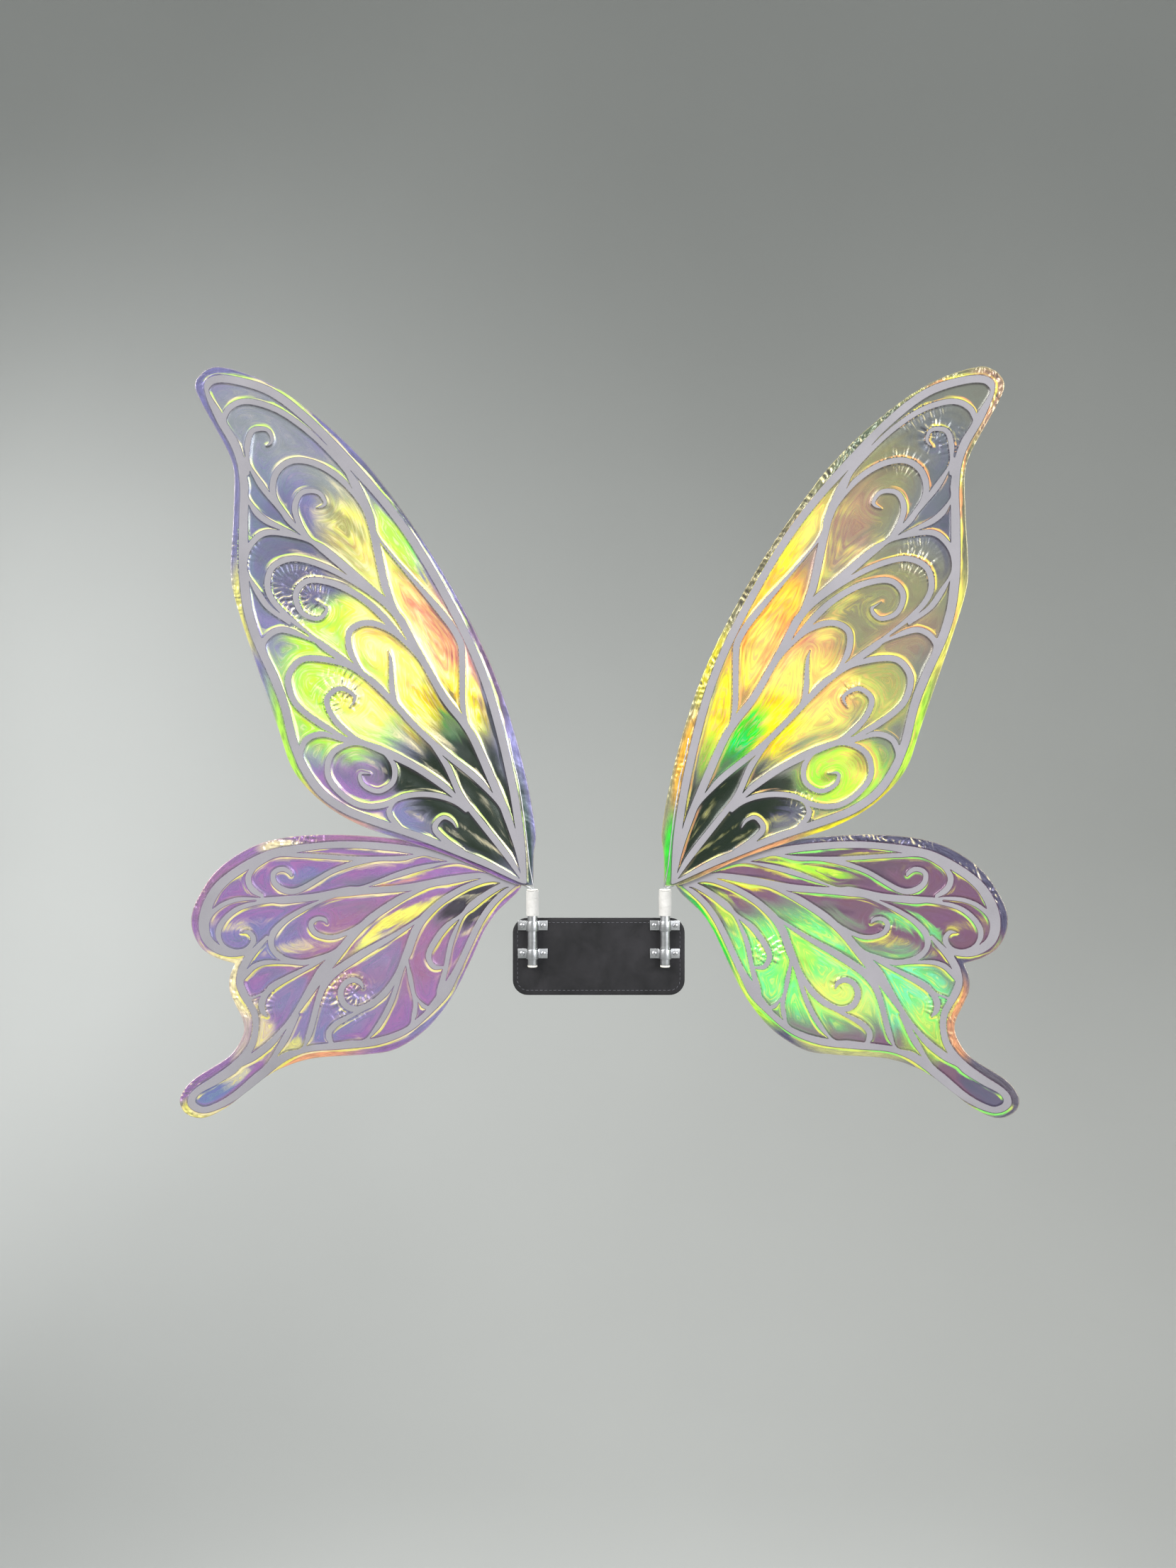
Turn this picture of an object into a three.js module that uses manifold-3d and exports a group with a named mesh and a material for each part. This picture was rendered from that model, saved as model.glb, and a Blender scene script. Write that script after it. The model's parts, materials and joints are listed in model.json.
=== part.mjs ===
// Pair of socketed fairy wings on a padded back plate. Millimetres, +Z up.
// The wearer faces +Y, so the wings trail towards -Y and the right wing lies at +X.
// The origin is the middle of the pad's flat back face, which rests on the wearer's back.
import * as THREE from "three";
import { mergeVertices } from "three/addons/utils/BufferGeometryUtils.js";
import Module from "manifold-3d";

const wasm = await Module();
wasm.setup();

// ---------------------------------------------------------------- driving dimensions
const FIT = 0.3; // gap between touching pieces
const SOCKET_SPREAD = 61.4; // from the middle to each socket axis
const SWEEP = THREE.MathUtils.degToRad(15); // how far each wing trails behind the back

const TUBE = { outer: 4.5, inner: 3.6, top: -1.5, bottom: -70 };
const BUSH = { outer: 3.3, inner: 2.5, flange: 5.2, flangeHeight: 1.2, length: 42 };
const TAPE = { outer: 5.8, length: 23 };
const POST = { radius: 2.2, tip: 1.6, chamfer: 1, top: 0.3, bottom: -66.2 };
const PLUG = { stem: 3.3, top: -66.5, cap: 1.7 };
const PLATE = { width: 160, height: 72, thickness: 2.5, corner: 14, front: TUBE.outer + FIT };
const PAD = { width: 146, height: 58, thickness: 6, corner: 12 };
const BASE_MIDDLE = -63; // height of the plate's and pad's middle below the socket rims
const SADDLE = { height: 9, foot: 8, sheet: 1, levels: [-34, -60] };
const RIVET = { head: 2.4, shank: 1.2, dome: 1.1, hole: 1.5, tail: 0.1 };

const WIRE_RADIUS = 0.8;
const VEIN_THICKNESS = 1.2;
const FILM_THICKNESS = 0.3;
const FILM_OFFSET = WIRE_RADIUS + FIT; // from a panel's middle plane to its films
const LOWER_PANEL_SETBACK = 2 * (FILM_OFFSET + FILM_THICKNESS) + 0.4;
const CHORD_ERROR = 0.5; // largest gap between a curve and its facets
const VEIN_TOLERANCE = 0.05; // vein edges this straight become one edge
const END_TAPER = 0.5; // a stroke's width at its ends, as a part of its width beside them
const ROUND_STEPS = 16; // sides of a turned piece
const RIVET_STEPS = 10; // sides of a rivet

const PAD_BACK = PLATE.front + PLATE.thickness + FIT + PAD.thickness;

// ---------------------------------------------------------------- materials
function finish(colour, roughness, metalness = 0) {
  return new THREE.MeshStandardMaterial({ color: colour, roughness, metalness });
}
const aluminium = finish(0xb9bcc0, 0.35, 1);
const steel = finish(0xc4c4c8, 0.3, 1);
const whiteTape = finish(0xe6e3de, 0.85);
const nylon = finish(0xe9e7e0, 0.5);
const blackFabric = finish(0x17161a, 0.9);
const blackFoam = finish(0x201f24, 0.95);
const veinBoard = finish(0xaaa8af, 0.6);
const upperFilm = finish(0xb9c96a, 0.12);
const lowerFilm = finish(0x9a6bb0, 0.12);

// ---------------------------------------------------------------- wing outlines
// Points are [out from the socket axis, up from the socket rim]; veins add their half-width.
// Each film outline starts at its one sharp corner: the upper one at the root, the lower one at the notch.
const UPPER_FILM = [
  [-1, 3.2], [-1, 29], [-3.4, 46], [-0.3, 73], [9, 117], [26, 174], [45, 220], [79, 283],
  [120, 344], [157, 389], [200, 426], [236, 448], [266, 457], [281, 458], [293, 450],
  [297, 440], [287, 417], [274, 394], [265.5, 372], [265, 339], [267, 300], [266.5, 270],
  [251, 217], [228, 147], [214, 108], [186, 78], [150, 57.5], [115, 45.5], [77, 32],
  [50, 20], [33, 12], [18, 5.5], [9, 3.4],
];

const LOWER_FILM = [
  [264, -59], [278, -54], [291, -45], [299, -30], [299.8, -15], [292.4, 3.3], [279.8, 21.6],
  [259.3, 37.6], [236.4, 47.3], [202, 52.2], [156.4, 51.3], [120.7, 47.5], [97, 43.5],
  [78, 38.4], [58, 31.7], [38, 24.3], [24, 16.8], [12, 8.6], [9.6, 4.5], [12, -1], [23.5, -11.2],
  [37.3, -26], [48.7, -45.5], [59, -68.3], [70, -90], [86.3, -113.4], [103.4, -129.4],
  [128.6, -142.6], [162, -145], [197, -145.2], [231.4, -155.4], [260, -176], [278, -187.4],
  [293, -191.4], [306, -185], [309.5, -174], [301, -160], [282.9, -148.6], [266, -136.5],
  [256.3, -117], [260, -101.7], [268, -84], [268.4, -71],
];

const UPPER_VEINS = {
  leadingEdge: [
    [6.6, 5, 1.8], [8, 20, 2.8], [10.3, 40, 3.3], [16.1, 80, 3.6], [24.3, 120, 3.7],
    [40.3, 180, 3.7], [56, 220, 3.7], [76.3, 260, 3.7], [99.5, 300, 3.7], [127.5, 340, 3.7],
    [163.4, 380, 3.7], [204.6, 420, 3.7], [234, 440, 3.6], [258, 446.7, 3.5],
    [277, 447.6, 3.3], [285, 444, 3.2], [287.6, 436, 3.2],
  ],
  trailingEdge: [
    [8.4, 6.4, 2.2], [20, 12.5, 3], [50, 27.5, 3.2], [90, 44.3, 3.3], [130, 59.5, 3.4],
    [165, 72, 3.5], [190, 89, 3.6], [205, 110, 3.6], [213.5, 130, 3.6], [218, 150, 3.6],
    [226.8, 180, 3.7], [240, 210, 3.8], [251, 240, 3.8], [256, 270, 3.8], [257.3, 310, 3.8],
    [256, 352, 3.7], [259.5, 380, 3.7], [268, 400, 3.7], [280.5, 421, 3.6], [287.5, 437, 3.2],
  ],
  innerStem: [
    [8.4, 7.5, 2.2], [12, 32, 3.3], [20.5, 59, 3.5], [33.5, 90, 3.5], [51, 130, 3.5],
    [61.5, 150, 3.7], [78, 170, 3.5], [102.5, 210, 3.6], [125, 250, 3.8], [157, 279, 3.6],
    [192, 307, 3.4], [207, 316, 3],
  ],
  tipFork: [[203, 312, 2.7], [220, 319, 2.7], [243, 331, 2.7], [256.5, 350, 2.7]],
  tipArch: [[200, 311, 2.6], [222, 317, 2.6], [240, 316, 2.6], [252, 304, 2.6], [257, 290, 2.6]],
  innerLeaf: [
    [60, 147, 2.6], [64.5, 165, 2.7], [66, 205, 2.7], [66.5, 224, 3.2], [76, 242, 3.2],
    [91, 260, 3.1], [117, 290, 3.2], [143, 320, 3.2],
  ],
  innerRise: [
    [122, 246, 3.6], [133.5, 270, 3.6], [140, 300, 3.6], [146.6, 330, 3.8], [159.5, 360, 4],
    [172, 382, 3.4],
  ],
  tipInnerArc: [
    [163, 367, 2.5], [182, 390, 2.5], [204.5, 410, 2.5], [232, 426, 2.5], [258, 429.5, 2.5],
    [271, 420, 2.5], [274, 406, 2.5],
  ],
  tipLoop: [
    [156, 346, 2.7], [172, 366, 2.7], [196, 380, 2.7], [216, 381, 2.7], [229, 370, 2.7],
    [232, 351, 2.7], [222, 333, 2.7], [205, 315, 2.7],
  ],
  tipBrace: [[222, 332, 2.7], [238, 352, 2.7], [256, 381, 2.7]],
  tipHook: [
    [253, 366, 2.5], [253.7, 390, 2.4], [249, 405, 2.2], [236.5, 406.5, 1.8], [233, 397, 1.2],
    [238, 392, 0.5],
  ],
  tipCurl: [
    [198, 310, 2.7], [210, 326, 2.6], [213.4, 342, 2.5], [207, 354, 2.3], [193, 354.5, 2],
    [187.6, 345, 1.5], [195.5, 340.5, 0.7],
  ],
  middleCurl: [
    [104, 210, 3.2], [131, 241, 3.2], [152, 260.5, 3], [180, 274.8, 2.8], [203, 276, 2.6],
    [212.8, 264, 2.5], [207.5, 248, 2.3], [193, 243.5, 2], [185.8, 252.5, 1.5], [195, 259, 0.6],
  ],
  middleLoop: [
    [135, 257, 2.6], [160, 276, 2.6], [195, 292, 2.6], [217, 295, 2.6], [233, 286, 2.6],
    [236.5, 268, 2.6], [227, 251, 2.6], [196, 226, 2.6],
  ],
  middleBrace: [[217, 237.5, 2.5], [237, 253, 2.5], [254, 281, 2.5]],
  middleArch: [
    [194, 222, 2.4], [208, 228, 2.6], [226, 232.3, 2.6], [238.5, 224, 2.6], [241.5, 211, 2.6],
  ],
  middleStem: [
    [26, 73, 2.8], [50, 100, 3], [88, 130, 3], [117, 160, 3.1], [147.5, 190, 3.2],
    [176, 209.5, 3.2], [201, 228.5, 3],
  ],
  thorn: [[117, 156, 2.4], [127, 172, 2.7], [129.3, 192, 2.5], [129.5, 206, 1.8], [132.5, 218, 0.5]],
  leafLoop: [
    [112, 220, 2.6], [131, 236, 2.8], [153, 241, 2.8], [166, 233, 2.8], [166, 216, 2.8],
    [154, 195, 2.8],
  ],
  edgeLoop: [
    [156, 198, 2.7], [184, 207, 2.8], [208, 206.5, 2.8], [218.8, 192, 2.8], [214.5, 171, 2.8],
    [199, 155.5, 2.8], [163, 134, 2.8],
  ],
  edgeArch: [[165, 134, 2.5], [191, 141.5, 2.6], [205, 135, 2.6], [210, 114, 2.6]],
  lowerStem: [[61, 76, 2.6], [77, 91, 3], [107, 112, 3.1], [147, 131.5, 3.3], [173, 138.5, 3]],
  edgeCurl: [
    [150, 131, 2.5], [166, 141, 2.6], [181, 157, 2.6], [185.8, 173, 2.5], [174.5, 182, 2.2],
    [161.5, 174.5, 1.6], [166, 165, 0.6],
  ],
  lowerLoop: [
    [152, 133.5, 2.4], [168, 133, 2.6], [182, 123.5, 2.6], [185.3, 106, 2.6], [176, 91, 2.6],
    [158, 78.7, 2.6], [138, 78, 2.6], [119, 86, 2.6], [95, 87.8, 2.6], [72, 81.5, 2.6],
    [61, 72, 2.4],
  ],
  lowerBrace: [[125, 85, 2.4], [131.5, 73, 2.5], [128, 64, 2.5], [119, 56, 2.5]],
  lowerCurl: [
    [138, 128, 2.2], [127.5, 114.5, 2.5], [128, 99.5, 2.4], [141, 91, 2.3], [155, 97.5, 2],
    [157, 107, 1.4], [147.5, 106.5, 0.6],
  ],
  rootHook: [[64, 36, 2.6], [80, 45, 3], [90.5, 58, 2.6], [83, 67, 2], [74, 63, 1.3], [70.7, 56.5, 0.5]],
  rootBrace: [
    [7.6, 5.6, 2], [16, 20, 2.8], [38, 50, 3], [54, 69, 3.1], [68, 88, 3.1], [77, 110, 3],
    [94, 133, 2.7],
  ],
};

const LOWER_VEINS = {
  topEdge: [
    [13, 4.5, 1.8], [28, 11, 2.3], [40, 18, 2.4], [60, 24.7, 3.1], [80, 31, 3.3],
    [106, 37, 3.2], [144, 42, 3.3], [180, 43.3, 3], [214, 40, 3], [236, 35.5, 3.3],
    [259, 23.5, 3.6], [277, 8.8, 4], [286, -6, 4.3], [289.6, -20, 4.4], [288.3, -34, 4.2],
    [282.5, -42.5, 3.8], [271, -49, 3.2], [253, -50.5, 3],
  ],
  outerEdge: [
    [236, -36, 3], [246, -46, 3.4], [254, -56, 3.6], [259, -68, 3.1], [259.5, -78, 3.1],
    [253, -92, 3.6], [247.8, -103, 2.9], [246.6, -115, 2.8], [249.5, -129, 3], [258, -143, 4.2],
    [274, -156, 4.2], [290, -164.5, 3.1], [298.5, -171.5, 3.2], [299.5, -178.5, 3.3],
    [291, -184.2, 2.8], [276, -180.7, 3], [255.5, -168, 3.6], [237, -152, 4.4],
    [222, -142.5, 3.8], [204, -137, 2.8], [175, -135, 3.6], [147, -134.2, 3.3],
    [123, -128.3, 2.9], [106, -118.5, 2.8], [95.5, -109, 2.8], [83, -94.5, 4.6],
    [74, -80.5, 3.5], [63.5, -59, 3], [53.5, -38, 3], [42, -19, 2.8], [29, -5, 2.6],
    [16, 3.8, 2],
  ],
  spine: [
    [14, 4.3, 1.8], [28, 9.6, 2.5], [42, 13.2, 2.4], [60, 12.4, 3], [80, 9.3, 3.6],
    [104, 5, 3.6], [138, 2.2, 2.8], [162, 2, 4.2], [184, -1.3, 4], [205, -3.5, 2.8],
    [225, -4.6, 3.4], [246, -4, 3.6],
  ],
  topBranch: [
    [68, 27, 2.2], [86, 23.5, 2.1], [109, 20, 2.5], [132, 12.6, 2.4], [156, 4.8, 2.6],
  ],
  topInner: [
    [96, 34, 2], [113, 31, 2.2], [140, 30, 2.3], [167, 31.2, 2], [202, 34.8, 2], [222, 34, 2.2],
    [236, 34.5, 2.4],
  ],
  topCurl: [
    [140, 29.5, 2.2], [158, 27.6, 2.6], [179, 20.8, 2.1], [195, 12, 2.4], [209, 3.9, 2.5],
    [221.5, 3.6, 2.7], [231, 11, 2.4], [231.2, 19.6, 2.2], [223.5, 22.6, 2.1], [217, 18.5, 1.7],
    [216, 15, 0.6],
  ],
  topArch: [
    [226, 35.5, 2], [237, 31.7, 2.4], [247.5, 25.5, 2.6], [252.9, 15.5, 2.6], [250.5, 6.5, 2.6],
    [240, -1.5, 2.8],
  ],
  rimArch: [[244, -2.6, 2.2], [258, -2.7, 1.9], [272, -6.4, 2], [284, -15, 2.4], [289, -26, 2.4]],
  rimCurl: [
    [234, -5.5, 3], [247, -7, 2], [261, -11, 2.1], [273, -20.8, 2.3], [278, -32, 2.4],
    [274, -43, 2], [263, -49, 2.4], [252.8, -46.5, 2.6], [248.4, -38.5, 2.4], [252.5, -32, 1.8],
    [259, -32, 0.5],
  ],
  bowBranch: [
    [96, 4.5, 2.8], [115, -3, 3.1], [138, -16.5, 3.2], [156, -30, 3.6], [168, -44, 3.6],
    [185, -63, 5], [198, -82, 4.8], [211, -102, 4.4], [219, -113, 3.8],
  ],
  middleCurl: [
    [145, -21.5, 2.8], [158, -30, 2.8], [170, -36.3, 2.1], [184, -38.8, 2], [196.5, -34, 2.3],
    [199.6, -26, 2.3], [193.5, -21.8, 1.9], [186.3, -24, 1.5], [185, -27.3, 0.6],
  ],
  bowl: [
    [180, -2, 3], [202, -11.3, 2.1], [222, -23, 2.4], [233, -36, 3], [232.6, -47, 2.4],
    [223, -56.5, 2.7], [207, -60.3, 2.6], [190, -57, 3], [176, -50, 3],
  ],
  bowlBrace: [[205, -60, 2.4], [225, -59, 2], [242, -59.6, 2.1], [252, -65, 2.5], [258, -74, 2.5]],
  tailBranch: [
    [184, -55.5, 2.5], [202, -64.5, 2.4], [222, -74.5, 3], [236, -83.5, 3], [241.4, -93, 3],
    [240.6, -101.5, 2.4], [236.5, -107, 0.8],
  ],
  tailBridge: [[238, -85, 2.4], [246, -88.5, 2.2], [254, -91, 2.2]],
  tailInner: [[214, -107, 3.6], [224.5, -119.5, 3], [237.5, -133, 3.2], [260, -148, 3.4]],
  tailOuter: [[211, -105, 4], [219, -122, 3.2], [225, -131.5, 3], [236, -149, 4]],
  outerStem: [
    [18, 5, 2.2], [36, 10.2, 2.8], [50, 7.3, 2.4], [70, -1, 2.8], [90, -14.3, 3.1],
    [104, -29, 3.7], [112, -46, 3.8], [117, -61, 3.6], [125.5, -78, 3], [140, -95, 3],
    [158, -104, 3], [169.5, -100, 2.8], [174, -89, 2.8], [170, -80.3, 2.7], [162, -77.4, 2.6],
    [155.6, -81.5, 1.8], [154.5, -86.5, 0.6],
  ],
  crossStem: [
    [98, -21, 3], [121, -36, 2.3], [143, -47.5, 2.8], [163, -59.5, 3.6], [180, -70.5, 4],
    [190, -84, 3.2], [194.9, -101, 2.3], [199.8, -120, 2.5], [207, -137, 2.6],
  ],
  bellyBow: [
    [148, -101, 3], [167, -110.3, 2.6], [180, -118, 2.7], [184.4, -125, 2.6], [181, -135, 3],
  ],
  bellyStem: [
    [118, -66, 3], [123.5, -83, 2.6], [131.8, -104, 2.3], [142, -121, 2.3], [153, -133, 2.8],
  ],
  bellyInner: [
    [115.5, -60, 3.2], [113.8, -72, 2.4], [109.5, -89, 2.2], [107.6, -105, 2.2], [112, -122, 2.6],
  ],
  bellyFoot: [[107.5, -95, 2.6], [100.5, -103.6, 2], [92, -107.5, 2.6]],
  innerStem: [[16, 4.2, 2], [26, 4.6, 2.8], [46.5, -6.6, 2.9], [56, -13.6, 3.3], [66, -23.5, 3.8]],
  innerBow: [
    [63, -20, 3], [79, -32, 2.6], [91, -47.5, 2.8], [95.8, -59.5, 2.6], [90.5, -68.8, 2.2],
    [80, -70, 2],
  ],
  innerLeg: [
    [64, -22, 3], [73.5, -42, 2.4], [78.5, -61, 2], [82, -80, 2.6], [87, -97, 3.4],
  ],
};

// Wires run [out, up, back from the upper panel's middle plane].
const UPPER_WIRE = [
  [-1, 0.6, 0], [-0.6, 3.5, 0], [2.7, 20, 0], [4.8, 40, 0], [7.6, 62, 0], [13.4, 100, 0],
  [18.3, 120, 0], [22, 140, 0],
];
const LOWER_WIRE = [
  [1, 0.6, 0], [1.05, 1, 0.05], [1.8, 1.6, 0.7], [4.2, 1.9, 2.3], [7.4, 3.2, LOWER_PANEL_SETBACK],
  [11, 6.8, LOWER_PANEL_SETBACK], [26.2, 15, LOWER_PANEL_SETBACK],
  [38, 22.3, LOWER_PANEL_SETBACK], [58.5, 29.9, LOWER_PANEL_SETBACK],
  [78.5, 36.4, LOWER_PANEL_SETBACK], [96, 41, LOWER_PANEL_SETBACK],
];

// ---------------------------------------------------------------- geometry helpers
function toSolid(geometry) {
  const bare = geometry.clone();
  bare.deleteAttribute("normal");
  bare.deleteAttribute("uv");
  const merged = mergeVertices(bare, 1e-4);
  return new wasm.Manifold(new wasm.Mesh({
    numProp: 3,
    vertProperties: new Float32Array(merged.attributes.position.array),
    triVerts: new Uint32Array(merged.index.array),
  }));
}

function toGeometry(solid) {
  const mesh = solid.getMesh();
  const geometry = new THREE.BufferGeometry();
  geometry.setAttribute("position", new THREE.BufferAttribute(mesh.vertProperties, 3));
  geometry.setIndex(new THREE.BufferAttribute(mesh.triVerts, 1));
  geometry.computeVertexNormals();
  return geometry;
}

// Curve parameters whose chords stay within CHORD_ERROR of the curve.
function curveSteps(curve) {
  const fine = 40 * (curve.points.length - 1);
  const samples = curve.getPoints(fine);
  const kept = [0];
  let last = 0;
  for (let next = 2; next <= fine; next += 1) {
    const chord = new THREE.Line3(samples[last], samples[next]);
    const middle = samples[Math.floor((last + next) / 2)];
    const nearest = chord.closestPointToPoint(middle, true, new THREE.Vector3());
    if (nearest.distanceTo(middle) > CHORD_ERROR) {
      last = next - 1;
      kept.push(last / fine);
    }
  }
  if (1 - kept[kept.length - 1] < 0.3 / curve.points.length) kept.pop();
  kept.push(1);
  return kept;
}

function smoothCurve(points) {
  const corners = points.map(([out, up, third = 0]) => new THREE.Vector3(out, up, third));
  return new THREE.CatmullRomCurve3(corners, false, "centripetal");
}

// A tapering stroke: a smooth centre line whose third coordinate is its half-width.
// Its ends are drawn in, so that a stroke's corners stay inside the vein that it grows from.
function strokeShape(points) {
  const curve = smoothCurve(points);
  const left = [];
  const right = [];
  for (const t of curveSteps(curve)) {
    const at = curve.getPoint(t);
    const along = curve.getTangent(t);
    const halfWidth = t === 0 || t === 1 ? at.z * END_TAPER : at.z;
    const across = new THREE.Vector2(-along.y, along.x).setLength(halfWidth);
    left.push(new THREE.Vector2(at.x + across.x, at.y + across.y));
    right.unshift(new THREE.Vector2(at.x - across.x, at.y - across.y));
  }
  return new THREE.Shape([...left, ...right]);
}

// A closed smooth outline, whose first point is its one sharp corner.
function outlineShape(points) {
  const curve = smoothCurve([...points, points[0]]);
  const corners = curveSteps(curve).slice(0, -1).map((t) => curve.getPoint(t));
  return new THREE.Shape(corners.map((at) => new THREE.Vector2(at.x, at.y)));
}

// Stands an extruded outline upright, with its thickness centred on depth `middle`.
function uprightSlab(shape, thickness, middle) {
  const slab = new THREE.ExtrudeGeometry(shape, { depth: thickness, bevelEnabled: false, steps: 1 });
  slab.rotateX(Math.PI / 2);
  slab.translate(0, middle + thickness / 2, 0);
  return slab;
}

function veinFrame(veins, middle) {
  let frame = null;
  for (const points of Object.values(veins)) {
    const stroke = toSolid(uprightSlab(strokeShape(points), VEIN_THICKNESS, middle));
    frame = frame ? frame.add(stroke) : stroke;
  }
  return toGeometry(frame.simplify(VEIN_TOLERANCE));
}

function wire(points) {
  const route = new THREE.CatmullRomCurve3(
    points.map(([out, up, back]) => new THREE.Vector3(out, back, up)), false, "centripetal",
  );
  const section = new THREE.Shape();
  section.absarc(0, 0, WIRE_RADIUS, 0, 2 * Math.PI);
  return new THREE.ExtrudeGeometry(section, {
    steps: 3 * points.length, curveSegments: 3, extrudePath: route,
  });
}

// A turned piece standing on Z, from [radius, height] corners listed bottom to top.
function turned(profile, steps = ROUND_STEPS) {
  const corners = profile.map(([radius, height]) => new THREE.Vector2(radius, height));
  return new THREE.LatheGeometry(corners, steps).rotateX(Math.PI / 2);
}

function ring(outer, inner, bottom, top) {
  return turned([[inner, bottom], [outer, bottom], [outer, top], [inner, top], [inner, bottom]]);
}

function roundedPlate(width, height, thickness, corner, front) {
  const x = width / 2 - corner;
  const z = height / 2 - corner;
  const shape = new THREE.Shape();
  shape.absarc(x, z, corner, 0, Math.PI / 2);
  shape.absarc(-x, z, corner, Math.PI / 2, Math.PI);
  shape.absarc(-x, -z, corner, Math.PI, 1.5 * Math.PI);
  shape.absarc(x, -z, corner, 1.5 * Math.PI, 2 * Math.PI);
  const slab = new THREE.ExtrudeGeometry(shape, {
    depth: thickness, bevelEnabled: false, curveSegments: 8,
  });
  slab.rotateX(Math.PI / 2);
  return slab.translate(0, front + thickness, BASE_MIDDLE);
}

// ---------------------------------------------------------------- base pieces
function rivetPlaces() {
  const reach = TUBE.outer + FIT + SADDLE.sheet + SADDLE.foot / 2;
  const places = [];
  for (const side of [-1, 1]) {
    for (const level of SADDLE.levels) {
      for (const hand of [-1, 1]) {
        places.push([side * (SOCKET_SPREAD + hand * reach), level]);
      }
    }
  }
  return places;
}

function drilled(geometry, places) {
  let solid = toSolid(geometry);
  for (const [x, z] of places) {
    const drill = new THREE.CylinderGeometry(RIVET.hole, RIVET.hole, 60, 12).translate(x, 0, z);
    solid = solid.subtract(toSolid(drill));
  }
  return toGeometry(solid);
}

function backPlate() {
  const blank = roundedPlate(PLATE.width, PLATE.height, PLATE.thickness, PLATE.corner, PLATE.front);
  return drilled(blank, rivetPlaces());
}

function backPad() {
  const front = PLATE.front + PLATE.thickness + FIT;
  return roundedPlate(PAD.width, PAD.height, PAD.thickness, PAD.corner, front);
}

// A strap bent over the tube, with a flat foot on each side that rests on the plate.
function saddle(level) {
  const inner = TUBE.outer + FIT;
  const outer = inner + SADDLE.sheet;
  const toe = outer + SADDLE.foot;
  const foot = PLATE.front - FIT;
  const shape = new THREE.Shape();
  shape.moveTo(toe, foot);
  shape.lineTo(inner, foot);
  shape.lineTo(inner, 0);
  shape.absarc(0, 0, inner, 0, Math.PI, true);
  shape.lineTo(-inner, foot);
  shape.lineTo(-toe, foot);
  shape.lineTo(-toe, foot - SADDLE.sheet);
  shape.lineTo(-outer, foot - SADDLE.sheet);
  shape.lineTo(-outer, 0);
  shape.absarc(0, 0, outer, Math.PI, 2 * Math.PI, false);
  shape.lineTo(outer, foot - SADDLE.sheet);
  shape.lineTo(toe, foot - SADDLE.sheet);
  const strap = new THREE.ExtrudeGeometry(shape, {
    depth: SADDLE.height, bevelEnabled: false, curveSegments: 6,
  });
  strap.translate(0, 0, level - SADDLE.height / 2);
  const reach = outer + SADDLE.foot / 2;
  return drilled(strap, [[-reach, level], [reach, level]]);
}

// A domed rivet through a saddle foot and the plate, with its flat tail under the plate.
function rivet() {
  const seat = PLATE.front - FIT - SADDLE.sheet - FIT;
  const tail = PLATE.front + PLATE.thickness + RIVET.tail;
  const body = turned([
    [0, seat - RIVET.dome], [RIVET.head * 0.6, seat - RIVET.dome * 0.8],
    [RIVET.head * 0.95, seat - RIVET.dome * 0.3], [RIVET.head, seat],
    [RIVET.shank, seat], [RIVET.shank, tail], [0, tail],
  ], RIVET_STEPS);
  return body.rotateX(-Math.PI / 2);
}

function gripBush() {
  const neck = -BUSH.flangeHeight;
  return turned([
    [BUSH.inner, -BUSH.length], [BUSH.outer, -BUSH.length], [BUSH.outer, neck],
    [BUSH.flange, neck], [BUSH.flange, 0], [BUSH.inner, 0], [BUSH.inner, -BUSH.length],
  ]);
}

function endPlug() {
  return turned([
    [0, TUBE.bottom - FIT - PLUG.cap], [TUBE.outer, TUBE.bottom - FIT - PLUG.cap],
    [TUBE.outer, TUBE.bottom - FIT], [PLUG.stem, TUBE.bottom - FIT], [PLUG.stem, PLUG.top],
    [0, PLUG.top],
  ]);
}

function wingPost() {
  return turned([
    [0, POST.bottom], [POST.tip, POST.bottom], [POST.radius, POST.bottom + POST.chamfer],
    [POST.radius, POST.top], [0, POST.top],
  ]);
}

// ---------------------------------------------------------------- assembly
function named(name, geometry, material) {
  const mesh = new THREE.Mesh(geometry, material);
  mesh.name = name;
  return mesh;
}

function filmPair(side, panel, outline, middle, material) {
  const shape = outlineShape(outline);
  const reach = FILM_OFFSET + FILM_THICKNESS / 2;
  return [
    named(`${side}_${panel}_film_front`, uprightSlab(shape, FILM_THICKNESS, middle - reach), material),
    named(`${side}_${panel}_film_back`, uprightSlab(shape, FILM_THICKNESS, middle + reach), material),
  ];
}

function wing(side) {
  const group = new THREE.Group();
  group.rotation.z = -SWEEP;
  group.add(named(`${side}_upper_vein_frame`, veinFrame(UPPER_VEINS, 0), veinBoard));
  group.add(named(`${side}_lower_vein_frame`, veinFrame(LOWER_VEINS, LOWER_PANEL_SETBACK), veinBoard));
  group.add(named(`${side}_upper_spar_wire`, wire(UPPER_WIRE), steel));
  group.add(named(`${side}_lower_spar_wire`, wire(LOWER_WIRE), steel));
  group.add(named(`${side}_wing_post`, wingPost(), steel));
  group.add(...filmPair(side, "upper", UPPER_FILM, 0, upperFilm));
  group.add(...filmPair(side, "lower", LOWER_FILM, LOWER_PANEL_SETBACK, lowerFilm));
  return group;
}

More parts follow.
